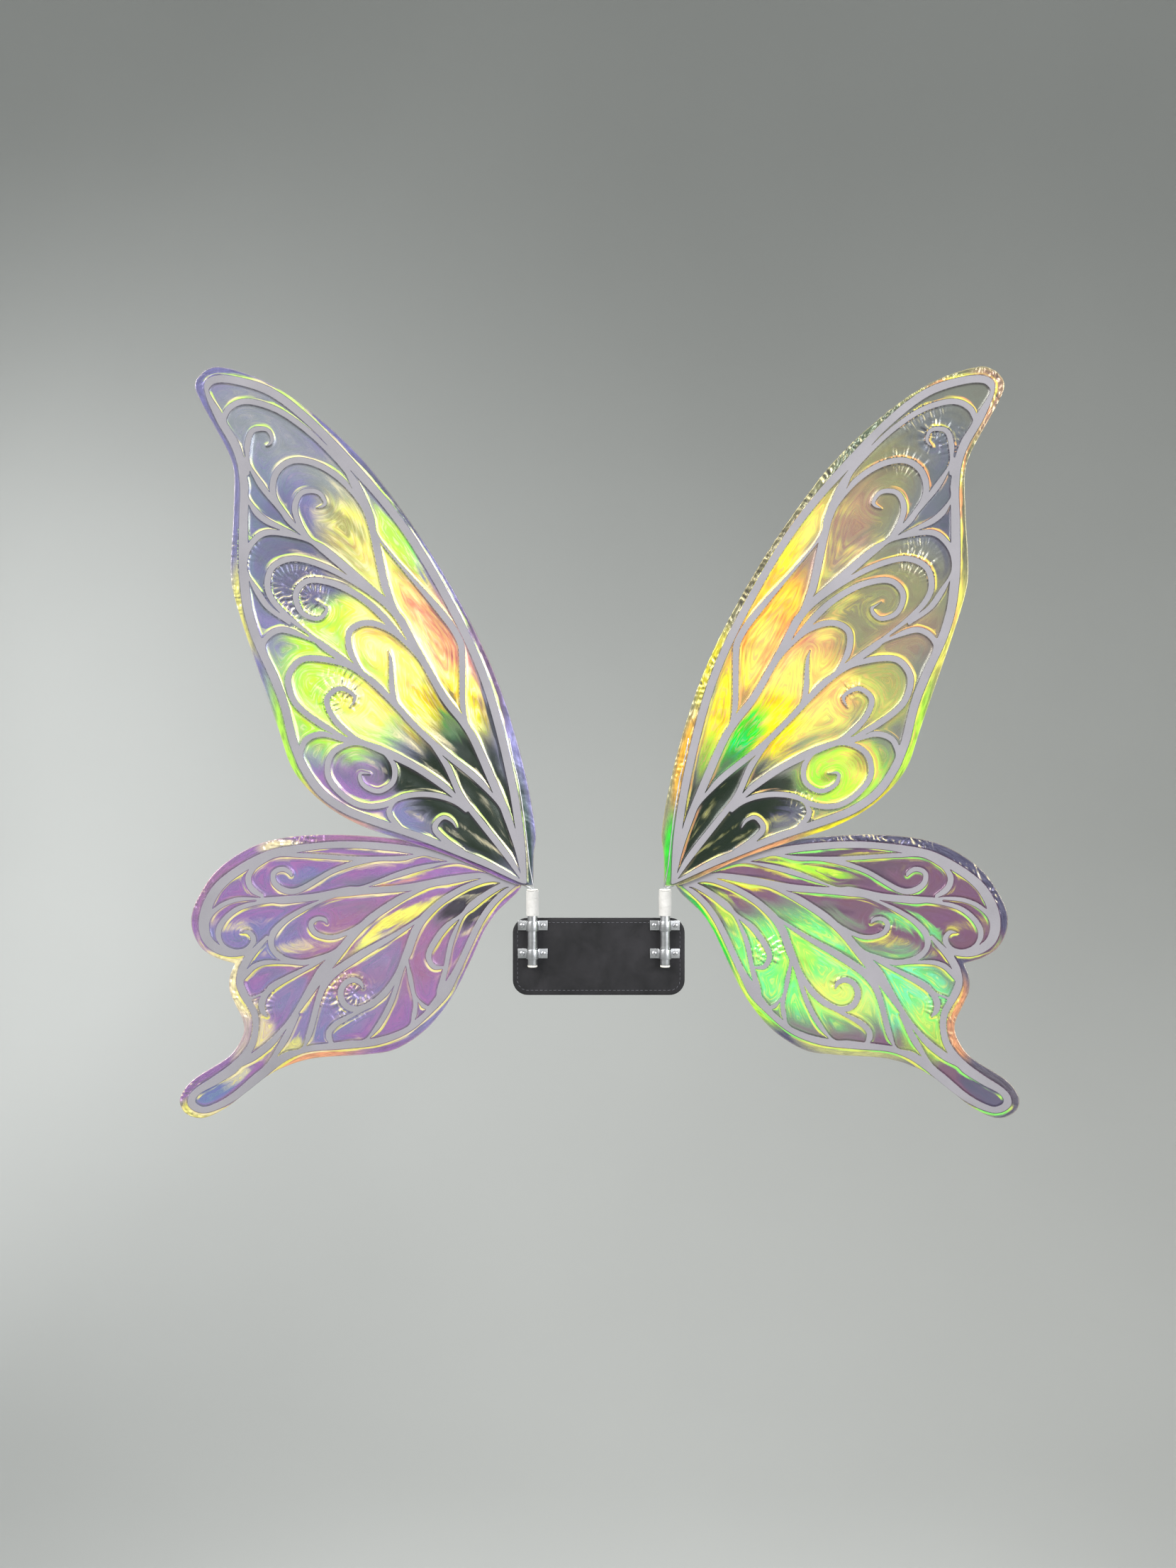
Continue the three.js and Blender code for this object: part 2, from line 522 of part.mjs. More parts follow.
function socket(side) {
  const group = new THREE.Group();
  group.add(named(`${side}_socket_tube`, ring(TUBE.outer, TUBE.inner, TUBE.bottom, TUBE.top), aluminium));
  const tapeInner = TUBE.outer + FIT;
  group.add(named(`${side}_socket_tape`,
    ring(TAPE.outer, tapeInner, TUBE.top - TAPE.length, TUBE.top), whiteTape));
  group.add(named(`${side}_grip_bush`, gripBush(), nylon));
  group.add(named(`${side}_tube_plug`, endPlug(), nylon));
  SADDLE.levels.forEach((level, row) => {
    group.add(named(`${side}_saddle_${row + 1}`, saddle(level), aluminium));
  });
  return group;
}

function backUnit() {
  const group = new THREE.Group();
  group.add(named("back_plate", backPlate(), blackFabric));
  group.add(named("back_pad", backPad(), blackFoam));
  rivetPlaces().forEach(([x, z], index) => {
    const fastener = named(`saddle_rivet_${index + 1}`, rivet(), steel);
    fastener.position.set(x, 0, z);
    group.add(fastener);
  });
  return group;
}

const fairyWings = new THREE.Group();
fairyWings.position.set(0, -PAD_BACK, -BASE_MIDDLE);
fairyWings.add(backUnit());
for (const [side, hand] of [["left", -1], ["right", 1]]) {
  const half = new THREE.Group();
  half.scale.x = hand;
  const onAxis = new THREE.Group();
  onAxis.position.x = SOCKET_SPREAD;
  onAxis.add(socket(side), wing(side));
  half.add(onAxis);
  fairyWings.add(half);
}

export default fairyWings;
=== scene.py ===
"""Looks of the fairy wings: smooth filigree, creased iridescent film, taped sockets and a covered plate."""
import json
import math

import bmesh
import bpy
import numpy as np
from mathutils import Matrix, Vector, kdtree
from mathutils.geometry import delaunay_2d_cdt


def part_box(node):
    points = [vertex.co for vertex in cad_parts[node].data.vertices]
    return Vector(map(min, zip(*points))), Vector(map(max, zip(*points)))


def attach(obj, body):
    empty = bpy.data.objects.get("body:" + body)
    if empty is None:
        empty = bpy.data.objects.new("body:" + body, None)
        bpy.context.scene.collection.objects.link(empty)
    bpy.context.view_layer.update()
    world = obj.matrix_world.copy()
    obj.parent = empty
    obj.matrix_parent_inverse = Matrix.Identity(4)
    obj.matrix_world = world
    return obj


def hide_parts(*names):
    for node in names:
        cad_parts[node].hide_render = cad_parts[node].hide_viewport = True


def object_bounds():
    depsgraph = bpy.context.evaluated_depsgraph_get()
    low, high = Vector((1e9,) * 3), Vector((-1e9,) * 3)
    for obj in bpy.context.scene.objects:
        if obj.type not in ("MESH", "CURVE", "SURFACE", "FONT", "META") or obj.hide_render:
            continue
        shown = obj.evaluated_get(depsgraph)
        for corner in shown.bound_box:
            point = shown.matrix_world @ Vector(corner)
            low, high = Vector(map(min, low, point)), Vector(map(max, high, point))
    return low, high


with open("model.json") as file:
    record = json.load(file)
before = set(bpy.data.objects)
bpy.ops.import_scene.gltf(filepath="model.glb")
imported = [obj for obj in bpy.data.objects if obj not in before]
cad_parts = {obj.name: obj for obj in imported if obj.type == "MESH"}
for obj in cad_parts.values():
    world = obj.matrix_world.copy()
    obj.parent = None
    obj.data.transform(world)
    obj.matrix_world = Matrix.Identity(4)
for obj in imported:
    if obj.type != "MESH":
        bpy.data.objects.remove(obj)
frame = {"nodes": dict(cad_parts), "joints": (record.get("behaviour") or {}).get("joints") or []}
CAD_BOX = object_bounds()

MM = 0.001
SIDES = {"left": -1, "right": 1}
SEED = 7

# Camera and light, in metres
CAMERA_DISTANCE = 1.090
CAMERA_LEFT = 0.010
CAMERA_ABOVE_RIM = 0.0974
CAMERA_LENS = 27.03
FLOOR_DROP = 1.15
FLOOR_REACH = 12.0
WALL_PLACE = 2.6
WALL_HEIGHT = 5.0
SWEEP_RADIUS = 1.3
LIGHT_SPREAD = 70
OVERHEAD_LIGHT = 0.8
WORLD_LIGHT = 0.34

# Filigree, in millimetres
VEIN_BEVEL = 0.28
VEIN_CURVE_STEP = 0.7
VEIN_STEP = 0.95
VEIN_SHARP = 32
CORNER_TURN = math.radians(68)
MERGE_GAP = 0.7

# Socket pieces, in millimetres
TUBE_WALL = 0.9
TAPE_GAP = 0.25
TAPE_ROWS = 47
TAPE_SKIN = 5.2
TAPE_PITCH = 7.4
TAPE_LAP = 0.16
TAPE_SINK = 0.14
CRIMP_DEPTH = 0.12
CRIMP_SKIN = 1.6
RIVET_SHANK = 1.2
RIVET_DOME = 1.1
BUSH_BORE = 2.5
SLEEVE = 3.3
FLANGE_HEIGHT = 1.2
PLUG_CAP = 1.7
SADDLE_SHEET = 1.0

# Plate, pad and stitches, in millimetres
PLATE_CORNER = 14
PLATE_EDGE = 1.4
PAD_CORNER = 12
PAD_EDGE = 3.0
RIM_SHARE = 0.25
PAD_SEAM = 36.5
PAD_CROWN = 0.36
CHANNEL_DEPTH = 1.1
CHANNEL_WIDTH = 2.4
STITCH_INSET = 4.5
STITCH_PITCH = 4.2
STITCH_LENGTH = 2.9
STITCH_RADIUS = 0.24
STITCH_RINGS = 7
STITCH_SIDES = 8

# Film, in millimetres
FILM_EDGE_STEP = 1.3
FILM_HALF = 0.05
FILM_TUCK = 0.42
FILM_REACH = 1.2
VEIN_RINGS = (0.45, 1.0, 1.8, 3.0)
BORDER_RINGS = (0.8, 1.8)
GRID_STEP = 3.2
FINE_STEP = 1.25
DOME_SLOPE = 0.10
TOOTH_PITCH = 5.6
SHORT_TOOTH_PITCH = 3.416
TOOTH_REACH = 3.2
TOOTH_HEIGHT = 0.95
SWELLS = (95, 70, 52, 41, 33)
SWELL_HEIGHT = 0.5
RIPPLES = (17, 14, 11)
RIPPLE_HEIGHT = 0.12
FOLDS = (17, 11.5, 7.8, 5.2)
CRUMPLE_HEIGHT = 0.8
LEAST_CRUMPLE = 0.10
SLACK_REACH = 7
EDGE_TAPER = 1.2
SPOT_RIM = 0.02
CLEAR_OF_VEIN = 0.35
CLEAR_OF_EDGE = 0.6
FINE_CLEAR = 0.8
# How the film's slopes become light and shade
TILT_GAIN = 5
CREASE_GAIN = 0.9
CREASE_WAY = (0.8, 0.6)

# Where the film is gathered into small teeth round a curl: [out, up, radius, height].
TEETH = {
    ("right", "upper"): ((238, 402, 30, 0.6), (214, 384, 22, 0.5), (226, 294, 22, 0.8), (125, 78, 17, 0.8),
                         (168, 182, 14, 0.4)),
    ("left", "upper"): ((212, 264, 30, 0.9), (176, 180, 24, 0.8), (258, 300, 20, 0.4)),
    ("right", "lower"): ((96, -54, 17, 0.9), (200, -28, 12, 0.5), (241, -98, 14, 0.7), (156, -82, 12, 0.4)),
    ("left", "lower"): ((168, -92, 25, 0.9), (240, -95, 15, 0.6), (260, -33, 12, 0.5)),
}
# Where the free margin is crumpled: [out, up, radius, strength].
CRUMPLES = {
    ("right", "upper"): ((5, 110, 45, 0.5), (30, 190, 50, 0.7), (80, 285, 70, 0.9), (150, 380, 70, 1.0),
                         (225, 445, 60, 1.0), (290, 445, 40, 1.0), (272, 385, 40, 0.5)),
    ("left", "upper"): ((262, 262, 22, 0.8), (5, 80, 40, 0.05), (285, 455, 30, 0.4)),
    ("right", "lower"): ((190, 52, 62, 1.0), (285, 12, 40, 0.6), (262, -110, 40, 0.5), (300, -180, 30, 0.3)),
    ("left", "lower"): ((215, 50, 32, 0.9), (295, -2, 26, 0.5), (268, -80, 46, 0.6), (298, -185, 30, 0.7)),
}

# ---- wing planes
class WingPlane:
    """The flat plane of one wing: out from the socket axis, up, and back to the wearer, in millimetres."""

    def __init__(self, side):
        sign = SIDES[side]
        hinge = next(j for j in frame["joints"] if j["name"] == f"{side}_swivel")
        self.origin = np.array(hinge["pos_m"])
        film = vertices(f"{side}_upper_film_front")
        slope = np.polyfit(film[:, 0], film[:, 1], 1)[0]
        along = math.hypot(1, slope)
        self.out = np.array([sign / along, sign * slope / along, 0])
        self.up = np.array([0, 0, 1.0])
        self.back = np.array([-slope / along, 1 / along, 0])

    def flat(self, points):
        away = (points - self.origin) / MM
        return np.stack([away @ self.out, away @ self.up, away @ self.back], 1)

    def row(self, flat):
        out, up, back = flat[:, :1], flat[:, 1:2], flat[:, 2:3]
        return self.origin + MM * (out * self.out + up * self.up + back * self.back)


def vertices(node):
    return np.array([v.co for v in frame["nodes"][node].data.vertices], float)


# ---- outlines from the frame
def front_loops(node, plane):
    """The outlines of a plate's front face, as closed loops of [out, up] points."""
    mesh = frame["nodes"][node].data
    flat = plane.flat(vertices(node))
    front = flat[:, 2].min() + 0.05
    keys = [tuple(np.round(p[:2], 2)) for p in flat]
    onward = {}
    for polygon in mesh.polygons:
        corners = list(polygon.vertices)
        if any(flat[i, 2] > front for i in corners):
            continue
        for a, b in zip(corners, corners[1:] + corners[:1]):
            onward.setdefault(keys[a], set()).add(keys[b])
    border = {a: {b for b in ends if a not in onward.get(b, ())} for a, ends in onward.items()}
    loops = []
    while any(border.values()):
        start = next(a for a, ends in border.items() if ends)
        loop = [start]
        at = border[start].pop()
        while at != start:
            loop.append(at)
            at = border[at].pop()
        if len(loop) > 3:
            loops.append(np.array(loop, float))
    return loops


def thinned(loop):
    """The loop without points that crowd each other."""
    kept = []
    for point in loop:
        if not kept or np.hypot(*(point - kept[-1])) > MERGE_GAP:
            kept.append(point)
    if np.hypot(*(kept[0] - kept[-1])) < MERGE_GAP:
        kept.pop()
    return np.array(kept)


def smooth_loop(loop, step):
    """A finer closed loop along a smooth curve through the points, with the sharp corners kept."""
    loop = thinned(loop)
    before = loop - np.roll(loop, 1, 0)
    after = np.roll(loop, -1, 0) - loop
    turn = np.arctan2(
        before[:, 0] * after[:, 1] - before[:, 1] * after[:, 0], (before * after).sum(1)
    )
    corner = np.abs(turn) > CORNER_TURN
    count = len(loop)
    fine = []
    for i in range(count):
        p1, p2 = loop[i], loop[(i + 1) % count]
        p0 = 2 * p1 - p2 if corner[i] else loop[i - 1]
        p3 = 2 * p2 - p1 if corner[(i + 1) % count] else loop[(i + 2) % count]
        fine.extend(centripetal(p0, p1, p2, p3, max(1, int(np.hypot(*(p2 - p1)) / step + 0.5))))
    return np.array(fine)


def centripetal(p0, p1, p2, p3, pieces):
    """Points from p1 up to, but without, p2 on a centripetal Catmull-Rom curve."""
    t1 = max(np.hypot(*(p1 - p0)), 1e-6) ** 0.5
    t2 = t1 + max(np.hypot(*(p2 - p1)), 1e-6) ** 0.5
    t3 = t2 + max(np.hypot(*(p3 - p2)), 1e-6) ** 0.5
    points = []
    for k in range(pieces):
        t = t1 + (t2 - t1) * k / pieces
        a1 = (t1 - t) / t1 * p0 + t / t1 * p1
        a2 = (t2 - t) / (t2 - t1) * p1 + (t - t1) / (t2 - t1) * p2
        a3 = (t3 - t) / (t3 - t2) * p2 + (t - t2) / (t3 - t2) * p3
        b1 = (t2 - t) / t2 * a1 + t / t2 * a2
        b2 = (t3 - t) / (t3 - t1) * a2 + (t - t1) / (t3 - t1) * a3
        points.append((t2 - t) / (t2 - t1) * b1 + (t - t1) / (t2 - t1) * b2)
    return points


def inside(points, loops):
    """Whether each [out, up] point lies inside the loops, by the even-odd rule."""
    order = np.argsort(points[:, 1])
    outs, ups = points[order, 0], points[order, 1]
    hits = np.zeros(len(points), int)
    for loop in loops:
        for (x1, y1), (x2, y2) in zip(loop, np.roll(loop, -1, 0)):
            first, last = np.searchsorted(ups, (min(y1, y2), max(y1, y2)), side="right")
            if first < last:
                x = x1 + (ups[first:last] - y1) * (x2 - x1) / (y2 - y1)
                hits[first:last] += x > outs[first:last]
    result = np.empty(len(points), bool)
    result[order] = hits % 2 == 1
    return result


def relaxed(loop, rounds=10):
    """The closed loop with its small nicks and sharp inner corners smoothed out, without shrinking."""
    for _ in range(rounds):
        for push in (0.50, -0.52):
            loop = loop + push * ((np.roll(loop, 1, 0) + np.roll(loop, -1, 0)) / 2 - loop)
    return loop


def loop_normals(loop):
    """Unit vectors to the left of the loop's direction, mitred at its points."""
    before = loop - np.roll(loop, 1, 0)
    after = np.roll(loop, -1, 0) - loop
    before /= np.maximum(np.hypot(before[:, 0], before[:, 1]), 1e-9)[:, None]
    after /= np.maximum(np.hypot(after[:, 0], after[:, 1]), 1e-9)[:, None]
    along = before + after
    along /= np.maximum(np.hypot(along[:, 0], along[:, 1]), 0.35)[:, None]
    return np.stack([-along[:, 1], along[:, 0]], 1)


def facing_in(loops):
    """The loops, each turned so that the material lies on its left."""
    turned = []
    for index, loop in enumerate(loops):
        depth = sum(inside(loop[:1], [other])[0] for k, other in enumerate(loops) if k != index)
        area = np.sum(loop[:, 0] * np.roll(loop[:, 1], -1) - loop[:, 1] * np.roll(loop[:, 0], -1))
        wants_positive = depth % 2 == 0
        turned.append(loop if (area > 0) == wants_positive else loop[::-1])
    return turned


def triangles(points, loops):
    """Delaunay triangles over the points, with the loops kept as edges. Returns points and triangles."""
    edges = []
    start = 0
    for loop in loops:
        count = len(loop)
        edges.extend((start + k, start + (k + 1) % count) for k in range(count))
        start += count
    made = delaunay_2d_cdt([Vector(p) for p in points], edges, [], 0, 1e-4)
    flat = np.array([tuple(v) for v in made[0]])
    faces = np.array(made[2])
    return flat, faces


# ---- objects
def reshape(mesh, change):
    shell = bmesh.new()
    shell.from_mesh(mesh)
    change(shell)
    shell.to_mesh(mesh)
    shell.free()
    mesh.polygons.foreach_set("use_smooth", [True] * len(mesh.polygons))


def add_object(name, data):
    thing = bpy.data.objects.new(name, data)
    bpy.context.scene.collection.objects.link(thing)
    return thing


def make_mesh(name, points, faces):
    mesh = bpy.data.meshes.new(name)
    mesh.from_pydata([tuple(p) for p in points], [], [tuple(f) for f in faces])
    mesh.validate()
    reshape(mesh, lambda shell: bmesh.ops.recalc_face_normals(shell, faces=shell.faces))
    return add_object(name, mesh)


def both_sides(faces, apart):
    """The faces, and the same faces turned over on a later layer of points."""
    return [tuple(f) for f in faces] + [tuple(f[::-1] + apart) for f in faces]


def walls(loops, count, layers=2):
    """Quads between layers of count points each, along loops whose points come first in a layer."""
    quads = []
    start = 0
    for size in map(len, loops):
        for k in range(size):
            a, b = start + k, start + (k + 1) % size
            for low in range(0, (layers - 1) * count, count):
                quads.append((a + low, b + low, b + low + count, a + low + count))
        start += size
    return quads


def place(piece, body, material, slot, *nodes):
    """Gives the piece its material and body, and hides the CAD nodes that it stands for; its slot is not
    used.
    """
    piece.data.materials.clear()
    piece.data.materials.append(material)
    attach(piece, body)
    if nodes:
        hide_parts(*nodes)
    return piece


def sharpen(piece, degrees):
    """Flat-looking faces beside rounded ones: edges sharper than the angle are split for shading."""
    def mark(shell):
        for edge in shell.edges:
            edge.smooth = len(edge.link_faces) == 2 and edge.calc_face_angle(0) < math.radians(degrees)

    reshape(piece.data, mark)
    return piece


# ---- filigree
def vein_frame(side, panel, plane):
    node = f"{side}_{panel}_vein_frame"
    depth = plane.flat(vertices(node))[:, 2]
    front, back = depth.min(), depth.max()
    loops = [smooth_even(smooth_loop(loop, VEIN_CURVE_STEP), VEIN_STEP) for loop in front_loops(node, plane)]
    loops = facing_in([relaxed(loop) for loop in loops])
    insets = [loop + VEIN_BEVEL * loop_normals(loop) for loop in loops]
    outline = np.concatenate(loops)
    inset = np.concatenate(insets)
    flat, faces = triangles(inset, insets)
    faces = faces[inside(flat[faces].mean(1), insets)]
    count = len(inset)
    faces = faces[(faces < count).all(1)]
    flat = flat[:count]
    sections = (flat, front), (outline, front + VEIN_BEVEL), (outline, back - VEIN_BEVEL), (flat, back)
    points = np.concatenate([np.column_stack([shape, np.full(count, level)]) for shape, level in sections])
    polygons = both_sides(faces, 3 * count) + walls(loops, count, 4)
    return sharpen(make_mesh(f"{side}_{panel}_veins", plane.row(points), polygons), VEIN_SHARP), loops


# ---- film
def waves(points, lengths, seed):
    """Soft, seeded ripples between about -1 and 1, made of crossing sine waves of the given lengths."""
    chance = np.random.default_rng(seed)
    total = np.zeros(len(points))
    for length in lengths:
        angle, phase = chance.uniform(0, 2 * math.pi, 2)
        across = points[:, 0] * math.cos(angle) + points[:, 1] * math.sin(angle)
        total += np.sin(2 * math.pi * across / length + phase)
    return total / math.sqrt(len(lengths))


def folds(points, lengths, seed):
    """Sharp-edged, seeded creases between about -1 and 1, made of crossing and bent triangle waves."""
    chance = np.random.default_rng(seed)
    total = np.zeros(len(points))
    for length in lengths:
        angle, phase = chance.uniform(0, 2 * math.pi, 2)
        bend = waves(points, (4.1 * length, 2.7 * length), seed + 1)
        across = points[:, 0] * math.cos(angle) + points[:, 1] * math.sin(angle) + 0.5 * length * bend
        total += 2 * np.abs(2 * ((across / length + phase) % 1) - 1) - 1
    return total / math.sqrt(len(lengths))


class Outline:
    """Distance, nearest point and place along a set of loops."""

    def __init__(self, loops, step=0.35):
        samples, places = [], []
        travelled = 0.0
        for loop in loops:
            for a, b in zip(loop, np.roll(loop, -1, 0)):
                length = float(np.hypot(*(b - a)))
                parts = max(1, int(length / step))
                for k in range(parts):
                    samples.append(a + (b - a) * k / parts)
                    places.append(travelled + length * k / parts)
                travelled += length
        self.samples = np.array(samples)
        self.places = np.array(places)
        self.tree = kdtree.KDTree(len(samples))
        for index, (x, y) in enumerate(samples):
            self.tree.insert((x, y, 0), index)
        self.tree.balance()

    def query(self, points):
        found = [self.tree.find((x, y, 0)) for x, y in points]
        index = np.array([f[1] for f in found])
        distance = np.array([f[2] for f in found])
        return distance, self.samples[index], self.places[index]


def ring_points(loops, offsets, outline, sign):
    """Points beside the loops at the given distances, where nothing else is nearer."""
    rings = []
    for offset in offsets:
        for loop in loops:
            ring = loop + sign * offset * loop_normals(loop)
            distance = outline.query(ring)[0]
            rings.append(ring[distance > 0.85 * offset])
    return np.concatenate(rings)


def grid_points(border, step):
    """A triangular grid over the border's box."""
    low, high = border.min(0), border.max(0)
    rows = []
    for k, up in enumerate(np.arange(low[1], high[1], step * math.sqrt(0.75))):
        outs = np.arange(low[0] + (k % 2) * step / 2, high[0], step)
        rows.append(np.column_stack([outs, np.full(len(outs), up)]))
    return np.concatenate(rows)


def near_spots(points, spots):
    """How strongly the spots reach each point, fading to none at their radius."""
    reach = np.zeros(len(points))
    for out, up, radius, strength in spots:
        away = np.hypot(points[:, 0] - out, points[:, 1] - up) / radius
        reach = np.maximum(reach, strength * np.clip(1 - away**2, 0, 1) ** 0.7)
    return reach


def slopes(flat, faces, height):
    """The height's slope at each point, from the triangles round it."""
    (ax, ay), (bx, by), (cx, cy) = (flat[faces[:, k]].T for k in range(3))
    ha, hb, hc = (height[faces[:, k]] for k in range(3))
    area = (bx - ax) * (cy - ay) - (by - ay) * (cx - ax)
    area = np.where(np.abs(area) < 1e-4, 1e-4, area)
    out = (ha * (by - cy) + hb * (cy - ay) + hc * (ay - by)) / area
    up = (ha * (cx - bx) + hb * (ax - cx) + hc * (bx - ax)) / area
    weight = np.abs(area)
    total = np.zeros((len(flat), 3))
    for k in range(3):
        for column, values in enumerate((out * weight, up * weight, weight)):
            total[:, column] += np.bincount(faces[:, k], values, len(flat))
    return total[:, :2] / np.maximum(total[:, 2:], 1e-9)


def membrane(flat, faces, fixed, rounds=260):
    """The height of a film blown up between fixed points, by conjugate gradients on the triangles."""
    count = len(flat)
    starts, ends, weights = [], [], []
    load = np.zeros(count)
    for k in range(3):
        i, j, o = faces[:, k], faces[:, (k + 1) % 3], faces[:, (k + 2) % 3]
        p, q = flat[i] - flat[o], flat[j] - flat[o]
        area = np.abs(p[:, 0] * q[:, 1] - p[:, 1] * q[:, 0])
        starts.append(i)
        ends.append(j)
        weights.append(np.clip((p * q).sum(1) / np.maximum(area, 1e-6) / 2, 1e-4, 20))
        load += np.bincount(o, area / 6, count)
    i, j, w = np.concatenate(starts), np.concatenate(ends), np.concatenate(weights)
    diagonal = np.bincount(i, w, count) + np.bincount(j, w, count)

    def stiffness(x):
        y = diagonal * x - np.bincount(i, w * x[j], count) - np.bincount(j, w * x[i], count)
        y[fixed] = 0
        return y

    load[fixed] = 0
    height = np.zeros(count)
    rest = load.copy()
    scaled = rest / np.maximum(diagonal, 1e-9)
    step = scaled.copy()
    power = rest @ scaled
    for _ in range(rounds):
        pushed = stiffness(step)
        gain = power / max(step @ pushed, 1e-12)
        height += gain * step
        rest -= gain * pushed
        scaled = rest / np.maximum(diagonal, 1e-9)
        power, before = rest @ scaled, power
        step = scaled + power / max(before, 1e-12) * step
    return np.maximum(height, 0)


def islands(faces, loose, count):
    """A label for each cell of loose points that are joined by triangle edges."""
    edges = np.concatenate([faces[:, [0, 1]], faces[:, [1, 2]], faces[:, [2, 0]]])
    edges = edges[loose[edges].all(1)]
    label = np.arange(count)
    while True:
        low = np.minimum(label[edges[:, 0]], label[edges[:, 1]])
        lower = label.copy()
        np.minimum.at(lower, edges[:, 0], low)
        np.minimum.at(lower, edges[:, 1], low)
        lower = lower[lower]
        if (lower == label).all():
            return label
        label = lower


def film_points(edge, vein_loops, border, veins, spots):
    """Free points of the film's mesh: fine in the margin, beside veins and in the gathered spots."""
    rings = ring_points(vein_loops, VEIN_RINGS, veins, -1)
    edge_rings = ring_points(edge, BORDER_RINGS, border, 1)
    coarse = grid_points(edge[0], GRID_STEP)
    coarse = coarse[veins.query(coarse)[0] > VEIN_RINGS[-1] + 1]
    fine = grid_points(edge[0], FINE_STEP)
    outer = max(vein_loops, key=lambda loop: np.ptp(loop[:, 0]) * np.ptp(loop[:, 1]))
    in_margin = ~inside(fine, [outer])
    gathered = near_spots(fine, spots) > SPOT_RIM
    fine = fine[(in_margin | gathered) & inside(fine, edge)]
    fine = fine[veins.query(fine)[0] > FINE_CLEAR]
    coarse = coarse[near_spots(coarse, spots) <= SPOT_RIM]
    coarse = coarse[inside(coarse, [outer])]
    rings = rings[near_spots(rings, spots) <= SPOT_RIM]
    free = np.concatenate([rings, edge_rings, coarse, fine])
    free = free[inside(free, edge)]
    free = free[border.query(free)[0] > CLEAR_OF_EDGE]
    return free[(veins.query(free)[0] > CLEAR_OF_VEIN) & ~inside(free, vein_loops)], outer


def film(side, panel, plane, vein_loops, seed):
    front, back = f"{side}_{panel}_film_front", f"{side}_{panel}_film_back"
    middle = (plane.flat(vertices(front))[:, 2].mean() + plane.flat(vertices(back))[:, 2].mean()) / 2
    edge = facing_in([smooth_loop(loop, FILM_EDGE_STEP) for loop in front_loops(front, plane)])
    border, veins = Outline(edge), Outline(vein_loops)
    spots = TEETH[(side, panel)]
    free, outer = film_points(edge, vein_loops, border, veins, spots)
    fixed = np.concatenate(edge + vein_loops)
    flat, faces = triangles(np.concatenate([fixed, free]), edge + vein_loops)
    faces = faces[inside(flat[faces].mean(1), edge)]
    used = np.unique(faces)
    remap = np.full(len(flat), -1)
    remap[used] = np.arange(len(used))
    flat, faces = flat[used], remap[faces]
    outlines = border, veins, vein_loops, outer
    half, offset, looks = film_relief(flat, faces, outlines, (side, panel), seed)
    count = len(flat)
    front_side = np.column_stack([flat, middle + offset - half])
    back_side = np.column_stack([flat, middle + offset + half])
    sides = {}
    for a, b, c in faces:
        for p, q in ((a, b), (b, c), (c, a)):
            if (q, p) in sides:
                del sides[(q, p)]
            else:
                sides[(p, q)] = True
    polygons = both_sides(faces, count) + [(q, p, p + count, q + count) for p, q in sides]
    points = plane.row(np.concatenate([front_side, back_side]))
    piece = make_mesh(f"{side}_{panel}_film", points, polygons)
    for name, values in looks.items():
        add_attribute(piece, name, np.concatenate([values, values]))
    return piece


# The way that lit bends face, [out, up], for each panel.
LIT_WAY = {
    ("right", "upper"): (0.70, 0.71), ("left", "upper"): (-0.25, 0.97),
    ("right", "lower"): (-0.10, -1.0), ("left", "lower"): (0.0, -1.0),
}


